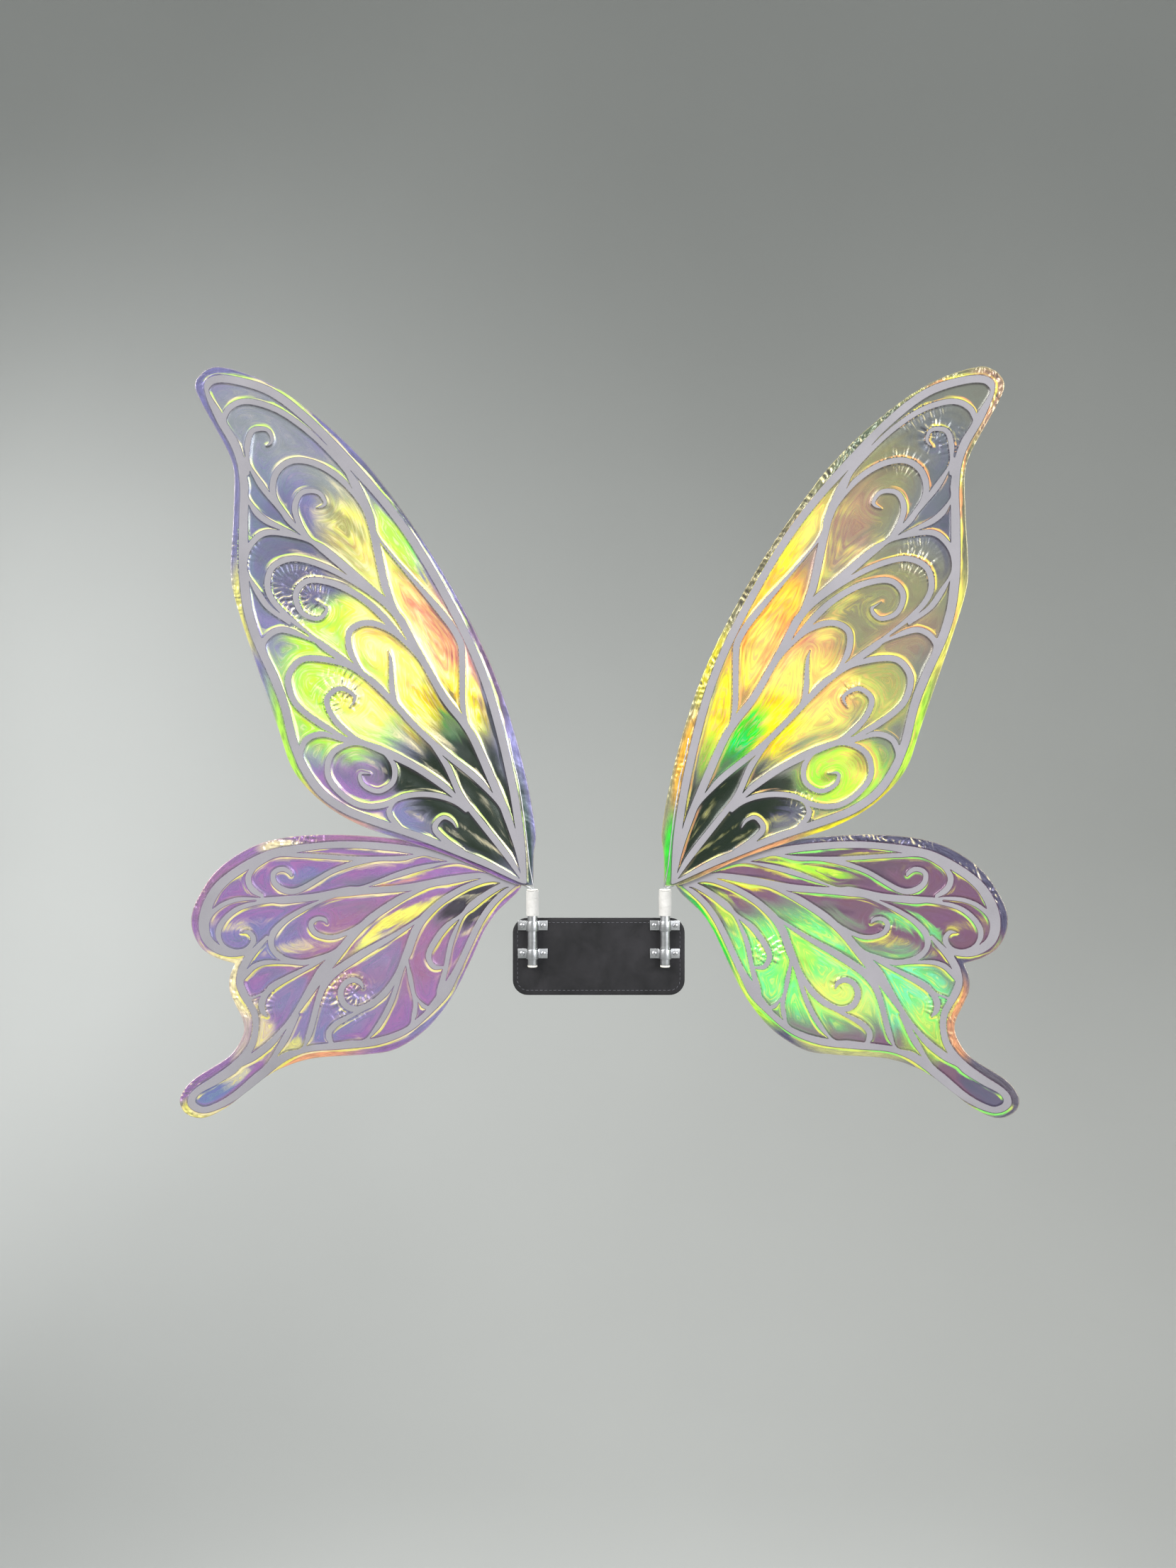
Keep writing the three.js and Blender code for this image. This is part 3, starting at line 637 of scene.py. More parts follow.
def film_relief(flat, faces, outlines, panel, seed):
    """Half-thickness and offset of the film, in millimetres, and what its material reads, with the slopes and
    sides from which it paints light and shade.
    """
    border, veins, vein_loops, outer = outlines
    to_vein, nearest, along_vein = veins.query(flat)
    to_edge = border.query(flat)[0]
    hidden = inside(flat, vein_loops) | (to_vein < 0.05)
    clear = np.where(hidden, 0, to_vein)
    margin = (~inside(flat, [outer]) & ~hidden).astype(float)
    half = FILM_HALF + FILM_TUCK * np.exp(-((clear / FILM_REACH) ** 2))
    half *= np.clip(to_edge / EDGE_TAPER, 0.12, 1)

    blown = membrane(flat, faces, hidden)
    cell = islands(faces, ~hidden, len(flat))
    widest = np.zeros(len(flat))
    np.maximum.at(widest, cell, blown)
    chance = np.random.default_rng(seed).random(len(flat))[cell]
    swell = blown / (np.sqrt(blown) + 0.5 * np.sqrt(widest[cell]) + 0.5)
    dome = DOME_SLOPE * swell * np.where(chance < 0.5, -1, 1) * (0.6 + 0.8 * chance) * (1 - 0.7 * margin)
    slack = 1 - np.exp(-clear / SLACK_REACH)
    swells = SWELL_HEIGHT * waves(flat, SWELLS, seed)
    ripples = RIPPLE_HEIGHT * waves(flat, RIPPLES, seed + 1)
    dome += slack * (swells + ripples)

    way = np.array(LIT_WAY[panel])
    # The tilt towards the panel's lit way: the material paints shade, highlight and a hue shift from it.
    tilt = (slopes(flat, faces, dome) @ way) * TILT_GAIN

    gathered = near_spots(flat, TEETH[panel])
    wobble = along_vein + 0.8 * np.sin(along_vein / 7)
    tooth = np.sin(2 * math.pi * wobble / TOOTH_PITCH)
    tooth += 0.4 * np.sin(2 * math.pi * wobble / SHORT_TOOTH_PITCH)
    reach = (clear / TOOTH_REACH) * np.exp(1 - clear / TOOTH_REACH)
    crimp = TOOTH_HEIGHT * gathered * tooth * np.clip(reach, 0, 1)
    crumpled = LEAST_CRUMPLE + (1 - LEAST_CRUMPLE) * near_spots(flat, CRUMPLES[panel])
    crumple = CRUMPLE_HEIGHT * crumpled * margin * folds(flat, FOLDS, seed + 5)
    crumple *= np.clip(clear / 1.5, 0, 1)
    # The crimps' and crumples' slope along the crease way: the material paints shade on one flank and a
    # highlight on the other.
    crease_lighting = slopes(flat, faces, crimp + crumple) @ np.array(CREASE_WAY)
    crease_lighting = np.clip(0.5 + CREASE_GAIN * crease_lighting, 0, 1)

    # Which way each point lies from its vein, against the lit way: it picks the vein's side for painted shade
    # and the side for a painted highlight.
    away = (flat - nearest) / np.maximum(to_vein, 1e-6)[:, None]
    lit = np.clip(0.5 + 0.5 * (away @ way), 0, 1)
    smooth_tilt = np.clip(0.5 + 0.5 * tilt, 0, 1)
    looks = {
        "wing_place": np.column_stack([flat / 100, clear / 10]),
        "film_painted_light": np.column_stack([lit, smooth_tilt, crease_lighting]),
        "film_margin": np.column_stack([margin, to_edge / 10, chance]),
    }
    return half, dome + crimp + crumple, looks


def add_attribute(piece, name, values):
    attribute = piece.data.attributes.new(name, "FLOAT_VECTOR", "POINT")
    attribute.data.foreach_set("vector", values.astype(np.float32).ravel())


# ---- node helpers
class Nodes:
    """A material's node tree with short calls for the nodes used here."""

    def __init__(self, name):
        self.material = bpy.data.materials.new(name)
        self.material.use_nodes = True
        self.tree = self.material.node_tree
        self.shader = self.tree.nodes["Principled BSDF"]

    def add(self, kind, **settings):
        node = self.tree.nodes.new(kind)
        for key, value in settings.items():
            setattr(node, key, value)
        return node

    def link(self, source, target):
        if hasattr(source, "is_output"):
            self.tree.links.new(source, target)
        else:
            target.default_value = source

    def math(self, operation, a, b=0.0, clamp=False):
        node = self.add("ShaderNodeMath", operation=operation, use_clamp=clamp)
        self.link(a, node.inputs[0])
        self.link(b, node.inputs[1])
        return node.outputs[0]

    def times(self, a, b):
        return self.math("MULTIPLY", a, b)

    def plus(self, a, b):
        return self.math("ADD", a, b)

    def swing(self, value, amount):
        """A value from 0 to 1, turned to swing about nought by half the amount to each side."""
        return self.times(self.math("SUBTRACT", value, 0.5), amount)

    def graded(self, value, amount, base):
        return self.plus(self.times(value, amount), base)

    def attribute(self, name):
        return self.add("ShaderNodeAttribute", attribute_name=name).outputs["Vector"]

    def split(self, vector):
        node = self.add("ShaderNodeSeparateXYZ")
        self.link(vector, node.inputs[0])
        return node.outputs

    def scaled(self, vector, scale, shift=(0, 0, 0)):
        node = self.add("ShaderNodeMapping")
        self.link(vector, node.inputs["Vector"])
        node.inputs["Scale"].default_value = scale
        node.inputs["Location"].default_value = shift
        return node.outputs[0]

    def noise(self, vector, scale, detail=3.0, roughness=0.5, distortion=0.0, socket="Fac"):
        node = self.add("ShaderNodeTexNoise")
        self.link(vector, node.inputs["Vector"])
        node.inputs["Scale"].default_value = scale
        node.inputs["Detail"].default_value = detail
        node.inputs["Roughness"].default_value = roughness
        node.inputs["Distortion"].default_value = distortion
        return node.outputs[socket]

    def ramp(self, factor, stops, interpolation="LINEAR"):
        node = self.add("ShaderNodeValToRGB")
        self.link(factor, node.inputs[0])
        node.color_ramp.interpolation = interpolation
        elements = node.color_ramp.elements
        while len(elements) < len(stops):
            elements.new(0.5)
        for element, (position, colour) in zip(elements, stops):
            element.position = position
            element.color = (*colour, 1) if isinstance(colour, tuple) else (colour,) * 3 + (1,)
        return node.outputs[0]

    def mix(self, factor, a, b, blend="MIX"):
        node = self.add("ShaderNodeMix", data_type="RGBA", blend_type=blend)
        self.link(factor, node.inputs[0])
        self.link((*a, 1) if isinstance(a, tuple) else a, node.inputs[6])
        self.link((*b, 1) if isinstance(b, tuple) else b, node.inputs[7])
        return node.outputs[2]

    def bump(self, height, strength, distance):
        node = self.add("ShaderNodeBump")
        self.link(height, node.inputs["Height"])
        node.inputs["Strength"].default_value = strength
        node.inputs["Distance"].default_value = distance
        self.link(node.outputs[0], self.shader.inputs["Normal"])

    def set(self, **values):
        for key, value in values.items():
            self.link(value, self.shader.inputs[key.replace("_", " ")])
        return self

    def place(self):
        return self.add("ShaderNodeTexCoord").outputs["Object"]


# ---- film material
def screen(red, green, blue):
    """A linear colour from the 0 to 255 values of a screen."""
    parts = (red / 255, green / 255, blue / 255)
    return tuple(p / 12.92 if p < 0.039 else ((p + 0.055) / 1.055) ** 2.4 for p in parts)


VIOLET = screen(150, 96, 172)
ORCHID = screen(160, 92, 150)
LAVENDER = screen(128, 122, 178)
BLUE = screen(92, 128, 184)
INDIGO = screen(70, 64, 110)
SLATE = screen(98, 106, 132)
MAROON = screen(118, 54, 104)
PLUM = screen(90, 40, 92)
OLIVE = screen(150, 147, 100)
MOSS = screen(126, 129, 116)
YELLOW = screen(255, 240, 20)
LEMON = screen(250, 244, 110)
LIME = screen(190, 250, 70)
GREEN = screen(20, 230, 50)
MINT = screen(124, 250, 136)
AQUA = screen(128, 246, 166)
ORANGE = screen(255, 190, 60)
PEACH = screen(250, 176, 120)
SALMON = screen(200, 152, 128)
CREAM = screen(255, 240, 186)
DEEP = screen(12, 34, 16)

# For each panel its base colour and its patches, each patch with its middle [out, up], its half width and
# height, its tilt in degrees, its colour and its strength.
CELLS = {
    ("right", "upper"): (MOSS, (
        (240, 350, 40, 80, 0, SLATE, 0.8), (262, 300, 22, 60, 0, INDIGO, 0.6),
        (180, 360, 60, 50, 45, OLIVE, 0.9), (160, 320, 26, 60, -30, SALMON, 0.55),
        (190, 250, 80, 60, 30, OLIVE, 0.9), (215, 225, 40, 26, 30, SALMON, 0.35),
        (120, 320, 18, 60, -35, LEMON, 0.9), (96, 285, 18, 46, -35, YELLOW, 0.8),
        (95, 235, 34, 74, -25, ORANGE, 1.0), (84, 214, 16, 40, -25, LEMON, 0.8),
        (122, 205, 46, 50, -30, PEACH, 0.6), (128, 175, 56, 44, 30, LEMON, 0.95),
        (150, 180, 34, 26, 20, PEACH, 0.5), (195, 178, 30, 36, 0, screen(190, 200, 90), 0.7),
        (160, 106, 50, 34, 20, LIME, 1.0), (176, 116, 22, 22, 0, LEMON, 0.7),
        (98, 150, 30, 38, -30, YELLOW, 1.0), (55, 165, 18, 60, -18, YELLOW, 0.9),
        (70, 134, 14, 44, -36, GREEN, 1.0), (40, 118, 9, 26, -15, LIME, 0.7),
        (46, 60, 52, 80, -35, DEEP, 1.0), (94, 84, 38, 22, 25, DEEP, 0.9),
        (112, 70, 22, 10, 15, INDIGO, 0.7),
    )),
    ("left", "upper"): (LAVENDER, (
        (250, 400, 60, 60, 45, screen(152, 158, 170), 0.9),
        (245, 320, 40, 80, 0, screen(104, 122, 164), 0.7), (225, 300, 30, 60, 0, INDIGO, 0.5),
        (170, 350, 26, 60, -40, screen(150, 160, 150), 0.8), (150, 300, 36, 66, -35, LEMON, 0.9),
        (195, 285, 44, 40, 20, INDIGO, 0.65), (118, 300, 14, 60, -30, LIME, 0.9),
        # The thin dark patches in this list are painted shade in creases.
        (172, 328, 7, 32, -55, screen(60, 60, 74), 0.5), (104, 226, 4, 34, -30, screen(120, 84, 40), 0.7),
        (175, 232, 70, 34, -35, LIME, 1.0), (120, 215, 50, 74, -30, LEMON, 1.0),
        (92, 240, 24, 70, -28, PEACH, 0.8), (70, 200, 22, 60, -22, PEACH, 0.6),
        (96, 178, 16, 40, -36, LEMON, 0.9), (175, 165, 64, 54, 30, LIME, 1.0),
        (150, 172, 30, 28, 30, LEMON, 0.8), (60, 165, 20, 46, -20, YELLOW, 0.9),
        (92, 158, 34, 34, -30, YELLOW, 0.9), (74, 150, 12, 22, -24, GREEN, 0.8),
        (162, 92, 44, 28, 20, VIOLET, 0.8), (54, 84, 56, 96, -32, DEEP, 1.0),
        (106, 100, 50, 26, 28, DEEP, 1.0), (78, 166, 6, 40, -40, DEEP, 0.85),
        (34, 150, 5, 52, -17, DEEP, 0.8), (60, 180, 6, 34, -26, YELLOW, 0.9),
    )),
    ("right", "lower"): (MAROON, (
        (230, 0, 110, 60, 0, MAROON, 1.0), (150, 30, 90, 14, -5, screen(96, 70, 92), 0.8),
        (130, -70, 86, 56, -20, MINT, 1.0), (215, -86, 52, 40, -25, AQUA, 0.95),
        (160, -92, 40, 26, -20, LEMON, 0.6), (120, -60, 16, 30, -20, LIME, 0.6),
        (232, -122, 26, 34, -20, LIME, 0.6), (80, -62, 26, 40, 10, MINT, 0.8),
        (222, -30, 34, 8, -20, MINT, 0.7), (130, 20, 46, 6, -14, LIME, 0.95),
        (72, 8, 40, 6, -6, YELLOW, 0.8), (285, -172, 30, 14, -30, INDIGO, 0.9),
        (52, -14, 26, 9, -42, LIME, 0.7), (30, 4, 30, 12, -10, DEEP, 0.8),
    )),
    ("left", "lower"): (VIOLET, (
        (230, 20, 110, 40, 0, VIOLET, 0.9), (150, -60, 90, 60, -20, ORCHID, 1.0),
        (250, -45, 54, 30, -10, BLUE, 0.5), (200, 16, 40, 8, -8, BLUE, 0.5),
        (180, -110, 60, 26, -20, LAVENDER, 0.8), (140, -60, 24, 40, -20, BLUE, 0.35),
        (222, -86, 26, 20, -30, LAVENDER, 0.8), (280, -164, 40, 14, -30, BLUE, 0.8),
        # The cream patches in this list, and the lemon one at (216, -138), are painted highlights.
        (262, -155, 16, 10, -30, CREAM, 0.6), (128, -30, 54, 7, -30, LEMON, 0.95),
        (150, 4, 44, 3.5, -12, PEACH, 0.8), (246, -112, 16, 30, -35, CREAM, 0.75),
        (216, -138, 22, 10, -30, LEMON, 0.6), (48, -10, 54, 24, -16, DEEP, 0.9),
    )),
}
# The same for the free margins.
MARGINS = {
    ("right", "upper"): (OLIVE, (
        (0, 40, 14, 50, 0, GREEN, 0.9), (10, 120, 22, 60, -14, ORANGE, 0.95),
        (40, 205, 34, 46, -20, YELLOW, 0.7), (90, 300, 60, 70, -35, screen(110, 100, 60), 0.8),
        (200, 420, 90, 50, 40, screen(90, 110, 84), 0.9), (290, 430, 30, 50, 0, SALMON, 0.8),
        (268, 330, 24, 70, 0, screen(120, 118, 84), 0.9), (255, 230, 30, 60, -15, LEMON, 0.8),
        (225, 140, 30, 60, -20, LIME, 0.9), (170, 68, 60, 26, 25, YELLOW, 0.9),
        (80, 34, 60, 16, 25, PEACH, 0.9),
    )),
    ("left", "upper"): (screen(120, 116, 176), (
        (0, 70, 22, 120, 0, screen(18, 60, 52), 1.0), (4, 150, 8, 30, -8, GREEN, 0.6),
        (40, 210, 30, 80, -20, PLUM, 0.9), (130, 350, 70, 60, -40, screen(70, 70, 110), 0.9),
        (255, 250, 30, 46, -10, LEMON, 0.8), (220, 130, 36, 70, -20, LIME, 0.9),
        (180, 76, 50, 20, 30, PEACH, 0.6), (70, 30, 70, 18, 22, VIOLET, 0.9),
    )),
    ("right", "lower"): (INDIGO, (
        (60, 30, 60, 20, 15, screen(140, 120, 170), 0.9), (40, -40, 30, 50, 30, GREEN, 0.95),
        (80, -100, 40, 40, 30, LIME, 0.9), (170, -140, 70, 14, 0, screen(210, 210, 130), 0.9),
        (262, -110, 16, 44, 0, PEACH, 1.0), (290, -165, 40, 24, -30, screen(96, 84, 104), 0.9),
        (288, -46, 30, 20, 0, MAROON, 0.9),
    )),
    ("left", "lower"): (VIOLET, (
        (150, 48, 70, 10, 0, ORCHID, 0.9), (230, 44, 26, 9, 4, CREAM, 0.9),
        (60, 26, 60, 16, 15, BLUE, 0.7), (285, 10, 40, 40, 0, ORCHID, 0.7),
        (90, -110, 50, 50, 30, LAVENDER, 0.9), (200, -146, 60, 12, 0, PEACH, 0.9),
        (262, -90, 14, 60, 0, CREAM, 1.0), (300, -186, 26, 14, 0, LEMON, 0.8),
        (274, -55, 24, 12, 0, CREAM, 0.9),
    )),
}


# The two tones of the painted highlights on the bends beside the veins.
HIGHLIGHT_TONES = {
    ("right", "upper"): (LEMON, PEACH), ("left", "upper"): (screen(214, 252, 120), CREAM),
    ("right", "lower"): (screen(150, 250, 120), LEMON), ("left", "lower"): (CREAM, LEMON),
}


def patched(nodes, place, patches):
    """A base colour with soft elliptical patches of other colours over it, at fixed places of the wing."""
    colour, spots = patches
    for out, up, wide, high, tilt, tint, strength in spots:
        local = nodes.add("ShaderNodeMapping", vector_type="TEXTURE")
        nodes.link(place, local.inputs["Vector"])
        local.inputs["Location"].default_value = (out / 100, up / 100, 0)
        local.inputs["Rotation"].default_value = (0, 0, math.radians(tilt))
        local.inputs["Scale"].default_value = (wide / 100, high / 100, 1)
        length = nodes.add("ShaderNodeVectorMath", operation="LENGTH")
        nodes.link(local.outputs[0], length.inputs[0])
        fade = nodes.add("ShaderNodeMapRange", interpolation_type="SMOOTHSTEP")
        nodes.link(length.outputs["Value"], fade.inputs["Value"])
        for socket, value in (("From Min", 1.15), ("From Max", 0.5), ("To Min", 0.0), ("To Max", strength)):
            fade.inputs[socket].default_value = value
        colour = nodes.mix(fade.outputs[0], colour, tint)
    return colour


def bent_place(nodes, place):
    """The place on the wing, bent by slow swirls, so that colour patches get soft, uneven shapes."""
    swirl = nodes.noise(place, 1.7, 1, 0.4, socket="Color")
    fine = nodes.noise(place, 6.0, 1, 0.4, socket="Color")
    for pull, reach in ((swirl, 0.26), (fine, 0.08)):
        bend = nodes.add("ShaderNodeVectorMath", operation="MULTIPLY_ADD")
        nodes.link(pull, bend.inputs[0])
        bend.inputs[1].default_value = (reach, reach, 0)
        nodes.link(place, bend.inputs[2])
        place = bend.outputs[0]
    return nodes.scaled(place, (1, 1, 0), (-0.17, -0.17, 0))


def streaks(nodes, out, up, scale, shortness, detail):
    """Noise that is drawn out along the rays from the wing's root."""
    angle = nodes.math("ARCTAN2", up, nodes.plus(out, 0.15))
    polar = nodes.add("ShaderNodeCombineXYZ")
    nodes.link(nodes.times(angle, 5.0), polar.inputs[0])
    nodes.link(nodes.times(out, shortness), polar.inputs[1])
    return nodes.noise(polar.outputs[0], scale, detail, 0.4)


def film_material(side, panel):
    nodes = Nodes(f"{side}_{panel}_iridescent_film")
    place = nodes.attribute("wing_place")
    out, up, clear = nodes.split(place)
    lit, tilt, crease_lighting = nodes.split(nodes.attribute("film_painted_light"))
    margin, to_edge, _ = nodes.split(nodes.attribute("film_margin"))
    bent = bent_place(nodes, place)
    cells = patched(nodes, bent, CELLS[(side, panel)])
    border = patched(nodes, place, MARGINS[(side, panel)])
    streak = streaks(nodes, out, up, 2.6, 0.35, 0)
    brush = streaks(nodes, out, up, 24, 0.07, 1)
    cloud = nodes.noise(place, 5.0, 2, 0.5, 0.3)

    # The hue drifts with a soft noise and with the film's tilt towards the lit way, which its swells shape: a
    # painted shift of the reflected colour.
    drift = nodes.plus(nodes.swing(cloud, 0.16), nodes.swing(tilt, 0.10))
    hue = nodes.add("ShaderNodeHueSaturation")
    nodes.link(nodes.plus(drift, 0.5), hue.inputs["Hue"])
    nodes.link(cells, hue.inputs["Color"])
    cells = hue.outputs[0]

    # Broad satin light and shade: each cell is darker where it tilts away, with a brushed edge.
    level = nodes.plus(tilt, nodes.swing(streak, 1.1))
    level = nodes.plus(level, nodes.swing(brush, 0.09))
    level = nodes.plus(level, nodes.swing(cloud, 0.5))
    shade = nodes.ramp(level, [(0.0, 0.4), (0.24, 0.86), (0.5, 1.0), (1.0, 1.15)], "B_SPLINE")
    cells = nodes.mix(0.9, cells, shade, "MULTIPLY")
    # Where the level is highest the cell turns lemon or cream: a painted highlight.
    flare = nodes.ramp(level, [(0.62, 0.0), (1.0, 0.55)], "EASE")
    cells = nodes.mix(flare, cells, LEMON if side == "right" else CREAM)

    # Soft mottles of the second tone lie over the bright cells.
    mottle = nodes.ramp(nodes.noise(place, 9.0, 1, 0.5), [(0.5, 0.0), (0.66, 0.5)], "EASE")
    bright = nodes.ramp(cells, [(0.25, 0.0), (0.6, 1.0)])
    cells = nodes.mix(nodes.times(mottle, bright), cells, HIGHLIGHT_TONES[(side, panel)][1])

    # Painted shade and highlight of small folds over the margin, from noise.
    ripple = nodes.noise(place, 9, 2, 0.5, 0.5)
    fold_shading = nodes.ramp(ripple, [(0.35, 0.55), (0.55, 1.0), (0.7, 1.15)])
    border = nodes.mix(0.7, border, fold_shading, "MULTIPLY")
    colour = nodes.mix(margin, cells, border)

    # Creases: painted shade on the flank that faces away from the light, a painted cream highlight on the
    # other.
    crease_shade = nodes.ramp(crease_lighting, [(0.1, 1.0), (0.4, 0.0)])
    colour = nodes.mix(nodes.times(crease_shade, 0.75), colour, screen(52, 44, 60))
    crease_highlight = nodes.ramp(crease_lighting, [(0.62, 0.0), (0.88, 1.0)])
    colour = nodes.mix(nodes.times(crease_highlight, 0.85), colour, CREAM)

    # Beside a vein the film bends: painted shade in a thin dark line on one side, a painted highlight in a
    # bright crescent on the other.
    uneven = nodes.noise(place, 4.5, 2, 0.5)
    width = nodes.times(uneven, 0.56)
    dark_near = nodes.ramp(nodes.math("DIVIDE", clear, 0.20), [(0.3, 1.0), (1.0, 0.0)])
    dark_way = nodes.ramp(lit, [(0.1, 1.0), (0.6, 0.15)])
    vein_shade = nodes.times(nodes.times(dark_near, dark_way), 0.75)
    colour = nodes.mix(vein_shade, colour, screen(50, 34, 52))
    beside = nodes.math("DIVIDE", clear, width)
    bright_near = nodes.ramp(beside, [(0.08, 0.0), (0.16, 1.0), (0.62, 0.95), (1.0, 0.0)])
    bright_way = nodes.ramp(lit, [(0.55, 0.0), (0.8, 1.0)])
    broken = nodes.ramp(nodes.noise(place, 2.6, 2), [(0.36, 0.0), (0.46, 1.0)])
    vein_highlight = nodes.times(nodes.times(bright_near, bright_way), broken)
    warm = nodes.ramp(nodes.noise(place, 3.4, 1), [(0.40, 0.0), (0.60, 1.0)])
    first, second = HIGHLIGHT_TONES[(side, panel)]
    colour = nodes.mix(nodes.times(vein_highlight, 0.92), colour, nodes.mix(warm, first, second))

    # A painted cream highlight along the film's edge.
    edge_highlight = nodes.ramp(to_edge, [(0.0, 1.0), (0.05, 0.5), (0.11, 0.0)])
    colour = nodes.mix(nodes.times(edge_highlight, 0.35), colour, CREAM)

    tones = nodes.add("ShaderNodeSeparateColor", mode="HSV")
    nodes.link(colour, tones.inputs[0])
    _, saturation, value = tones.outputs[:3]
    vivid = nodes.graded(nodes.times(saturation, value), 0.55, 0.44)
    dense = nodes.graded(value, -2.2, 0.86)
    alpha = nodes.math("MAXIMUM", vivid, dense)
    alpha = nodes.math("ADD", alpha, nodes.swing(level, 0.12), True)
    alpha = nodes.math("MAXIMUM", alpha, nodes.times(vein_highlight, 0.95))
    alpha = nodes.math("MAXIMUM", alpha, nodes.times(crease_highlight, 0.92))
    rough = nodes.graded(cloud, 0.2, 0.18)
    nodes.set(Base_Color=colour, Alpha=alpha, Roughness=rough, Metallic=0.3)
    nodes.set(Coat_Weight=0.3, Coat_Roughness=0.14)
    relief = nodes.noise(nodes.scaled(place, (1.0, 0.6, 0.0)), 9, 1, 0.5)
    nodes.bump(relief, 0.15, 0.001)
    return nodes.material


# ---- other materials
def surface(nodes, tones, worn, roughness, relief, **sockets):
    """Puts patterns together: coloured by tones, multiplied by worn, with a graded roughness and a relief."""
    colour = nodes.ramp(*tones)
    if worn:
        share, pattern, stops = worn
        colour = nodes.mix(share, colour, nodes.ramp(pattern, stops), "MULTIPLY")
    nodes.set(Base_Color=colour, Roughness=nodes.graded(*roughness), **sockets)
    nodes.bump(*relief)
    return nodes.material


def vein_material():
    nodes = Nodes("vein_board")
    cloud = nodes.noise(nodes.place(), 22, 4, 0.55)
    grain = nodes.noise(nodes.place(), 1500, 2, 0.6)
    tones = cloud, [(0.25, screen(137, 135, 140)), (0.75, screen(151, 148, 154))]
    specks = 1.0, grain, [(0.3, 0.93), (0.7, 1.03)]
    return surface(nodes, tones, specks, (cloud, 0.18, 0.50), (grain, 0.12, 0.0002),
                   Specular_IOR_Level=0.3, Coat_Weight=0.08, Coat_Roughness=0.35)


def steel_material():
    nodes = Nodes("drawn_steel")
    lines = nodes.noise(nodes.scaled(nodes.place(), (900, 900, 25)), 1.0, 3)
    tones = lines, [(0.3, (0.50, 0.50, 0.52)), (0.7, (0.74, 0.74, 0.76))]
    return surface(nodes, tones, None, (lines, 0.2, 0.22), (lines, 0.1, 0.0001), Metallic=1.0)


def aluminium_material():
    nodes = Nodes("brushed_aluminium")
    lines = nodes.noise(nodes.scaled(nodes.place(), (60, 60, 2600)), 1.0, 3, 0.6)
    marks = nodes.noise(nodes.place(), 90, 4, 0.7)
    tones = lines, [(0.3, (0.54, 0.55, 0.57)), (0.7, (0.74, 0.75, 0.77))]
    scuffs = 0.5, marks, [(0.3, 0.75), (0.6, 1.0)]
    return surface(nodes, tones, scuffs, (marks, 0.25, 0.22), (lines, 0.15, 0.00012), Metallic=1.0)


def nylon_material():
    nodes = Nodes("natural_nylon")
    cloud = nodes.noise(nodes.place(), 60, 3)
    tones = cloud, [(0.3, (0.74, 0.72, 0.66)), (0.7, (0.82, 0.80, 0.75))]
    relief = nodes.noise(nodes.place(), 900, 2), 0.08, 0.0002
    return surface(nodes, tones, None, (cloud, 0.2, 0.35), relief,
                   Subsurface_Weight=0.15, Subsurface_Radius=(0.002, 0.002, 0.0015))


def weave(nodes, place, threads):
    """A plain weave of the given number of threads per metre, from Object coordinates wrapped round Z."""
    x, y, z = nodes.split(place)
    across = nodes.math("SINE", nodes.times(nodes.plus(x, y), threads * 2 * math.pi))
    down = nodes.math("SINE", nodes.times(z, threads * 2 * math.pi))
    product = nodes.times(across, down)
    return nodes.graded(product, 0.5, 0.5)


def tape_material():
    nodes = Nodes("white_cloth_tape")
    threads = weave(nodes, nodes.place(), 1700)
    cloud = nodes.noise(nodes.place(), 120, 4)
    tones = cloud, [(0.25, (0.52, 0.51, 0.49)), (0.7, (0.64, 0.63, 0.61))]
    cloth = 0.5, threads, [(0.0, 0.82), (0.6, 1.0)]
    return surface(nodes, tones, cloth, (cloud, 0.2, 0.68), (threads, 0.5, 0.00025),
                   Sheen_Weight=0.25, Sheen_Roughness=0.5)


def satin_material():
    nodes = Nodes("black_stretch_satin")
    threads = weave(nodes, nodes.place(), 1300)
    soft = nodes.noise(nodes.place(), 40, 4, 0.6, 0.5)
    tones = soft, [(0.3, (0.006, 0.006, 0.007)), (0.7, (0.018, 0.017, 0.020))]
    cloth = 0.4, threads, [(0.0, 0.6), (0.7, 1.2)]
    return surface(nodes, tones, cloth, (soft, 0.25, 0.38), (threads, 0.4, 0.0002),
                   Specular_IOR_Level=0.35, Sheen_Weight=0.04, Sheen_Roughness=0.35)


def felt_material():
    nodes = Nodes("black_felt")
    fibres = nodes.noise(nodes.place(), 900, 5, 0.75, 1.5)
    patches = nodes.noise(nodes.place(), 55, 3)
    tones = fibres, [(0.3, (0.010, 0.010, 0.012)), (0.72, (0.050, 0.049, 0.055))]
    worn = 0.6, patches, [(0.3, 0.7), (0.7, 1.1)]
    return surface(nodes, tones, worn, (patches, 0.1, 0.85), (fibres, 0.7, 0.0006),
                   Sheen_Weight=0.5, Sheen_Roughness=0.6)


def thread_material():
    nodes = Nodes("grey_thread")
    twist = nodes.noise(nodes.scaled(nodes.place(), (2500, 2500, 2500)), 1.0, 2)
    tones = twist, [(0.3, (0.05, 0.05, 0.06)), (0.7, (0.13, 0.13, 0.15))]
    return surface(nodes, tones, None, (twist, 0.2, 0.55), (twist, 0.4, 0.0002))


# ---- turned pieces
def rounded_profile(corners, radius, steps=4):
    """The closed profile [radius, height] with each corner cut to a small arc."""
    corners = [np.array(c, float) for c in corners]
    count = len(corners)
    points = []
    for i, corner in enumerate(corners):
        before, after = corners[i - 1] - corner, corners[(i + 1) % count] - corner
        if corner[0] < 1e-6:
            points.append(corner)
            continue
        reach = min(radius, 0.45 * np.hypot(*before), 0.45 * np.hypot(*after))
        start = corner + before / np.hypot(*before) * reach
        end = corner + after / np.hypot(*after) * reach
        for k in range(steps + 1):
            t = k / steps
            points.append((1 - t) ** 2 * start + 2 * t * (1 - t) * corner + t * t * end)
    return points


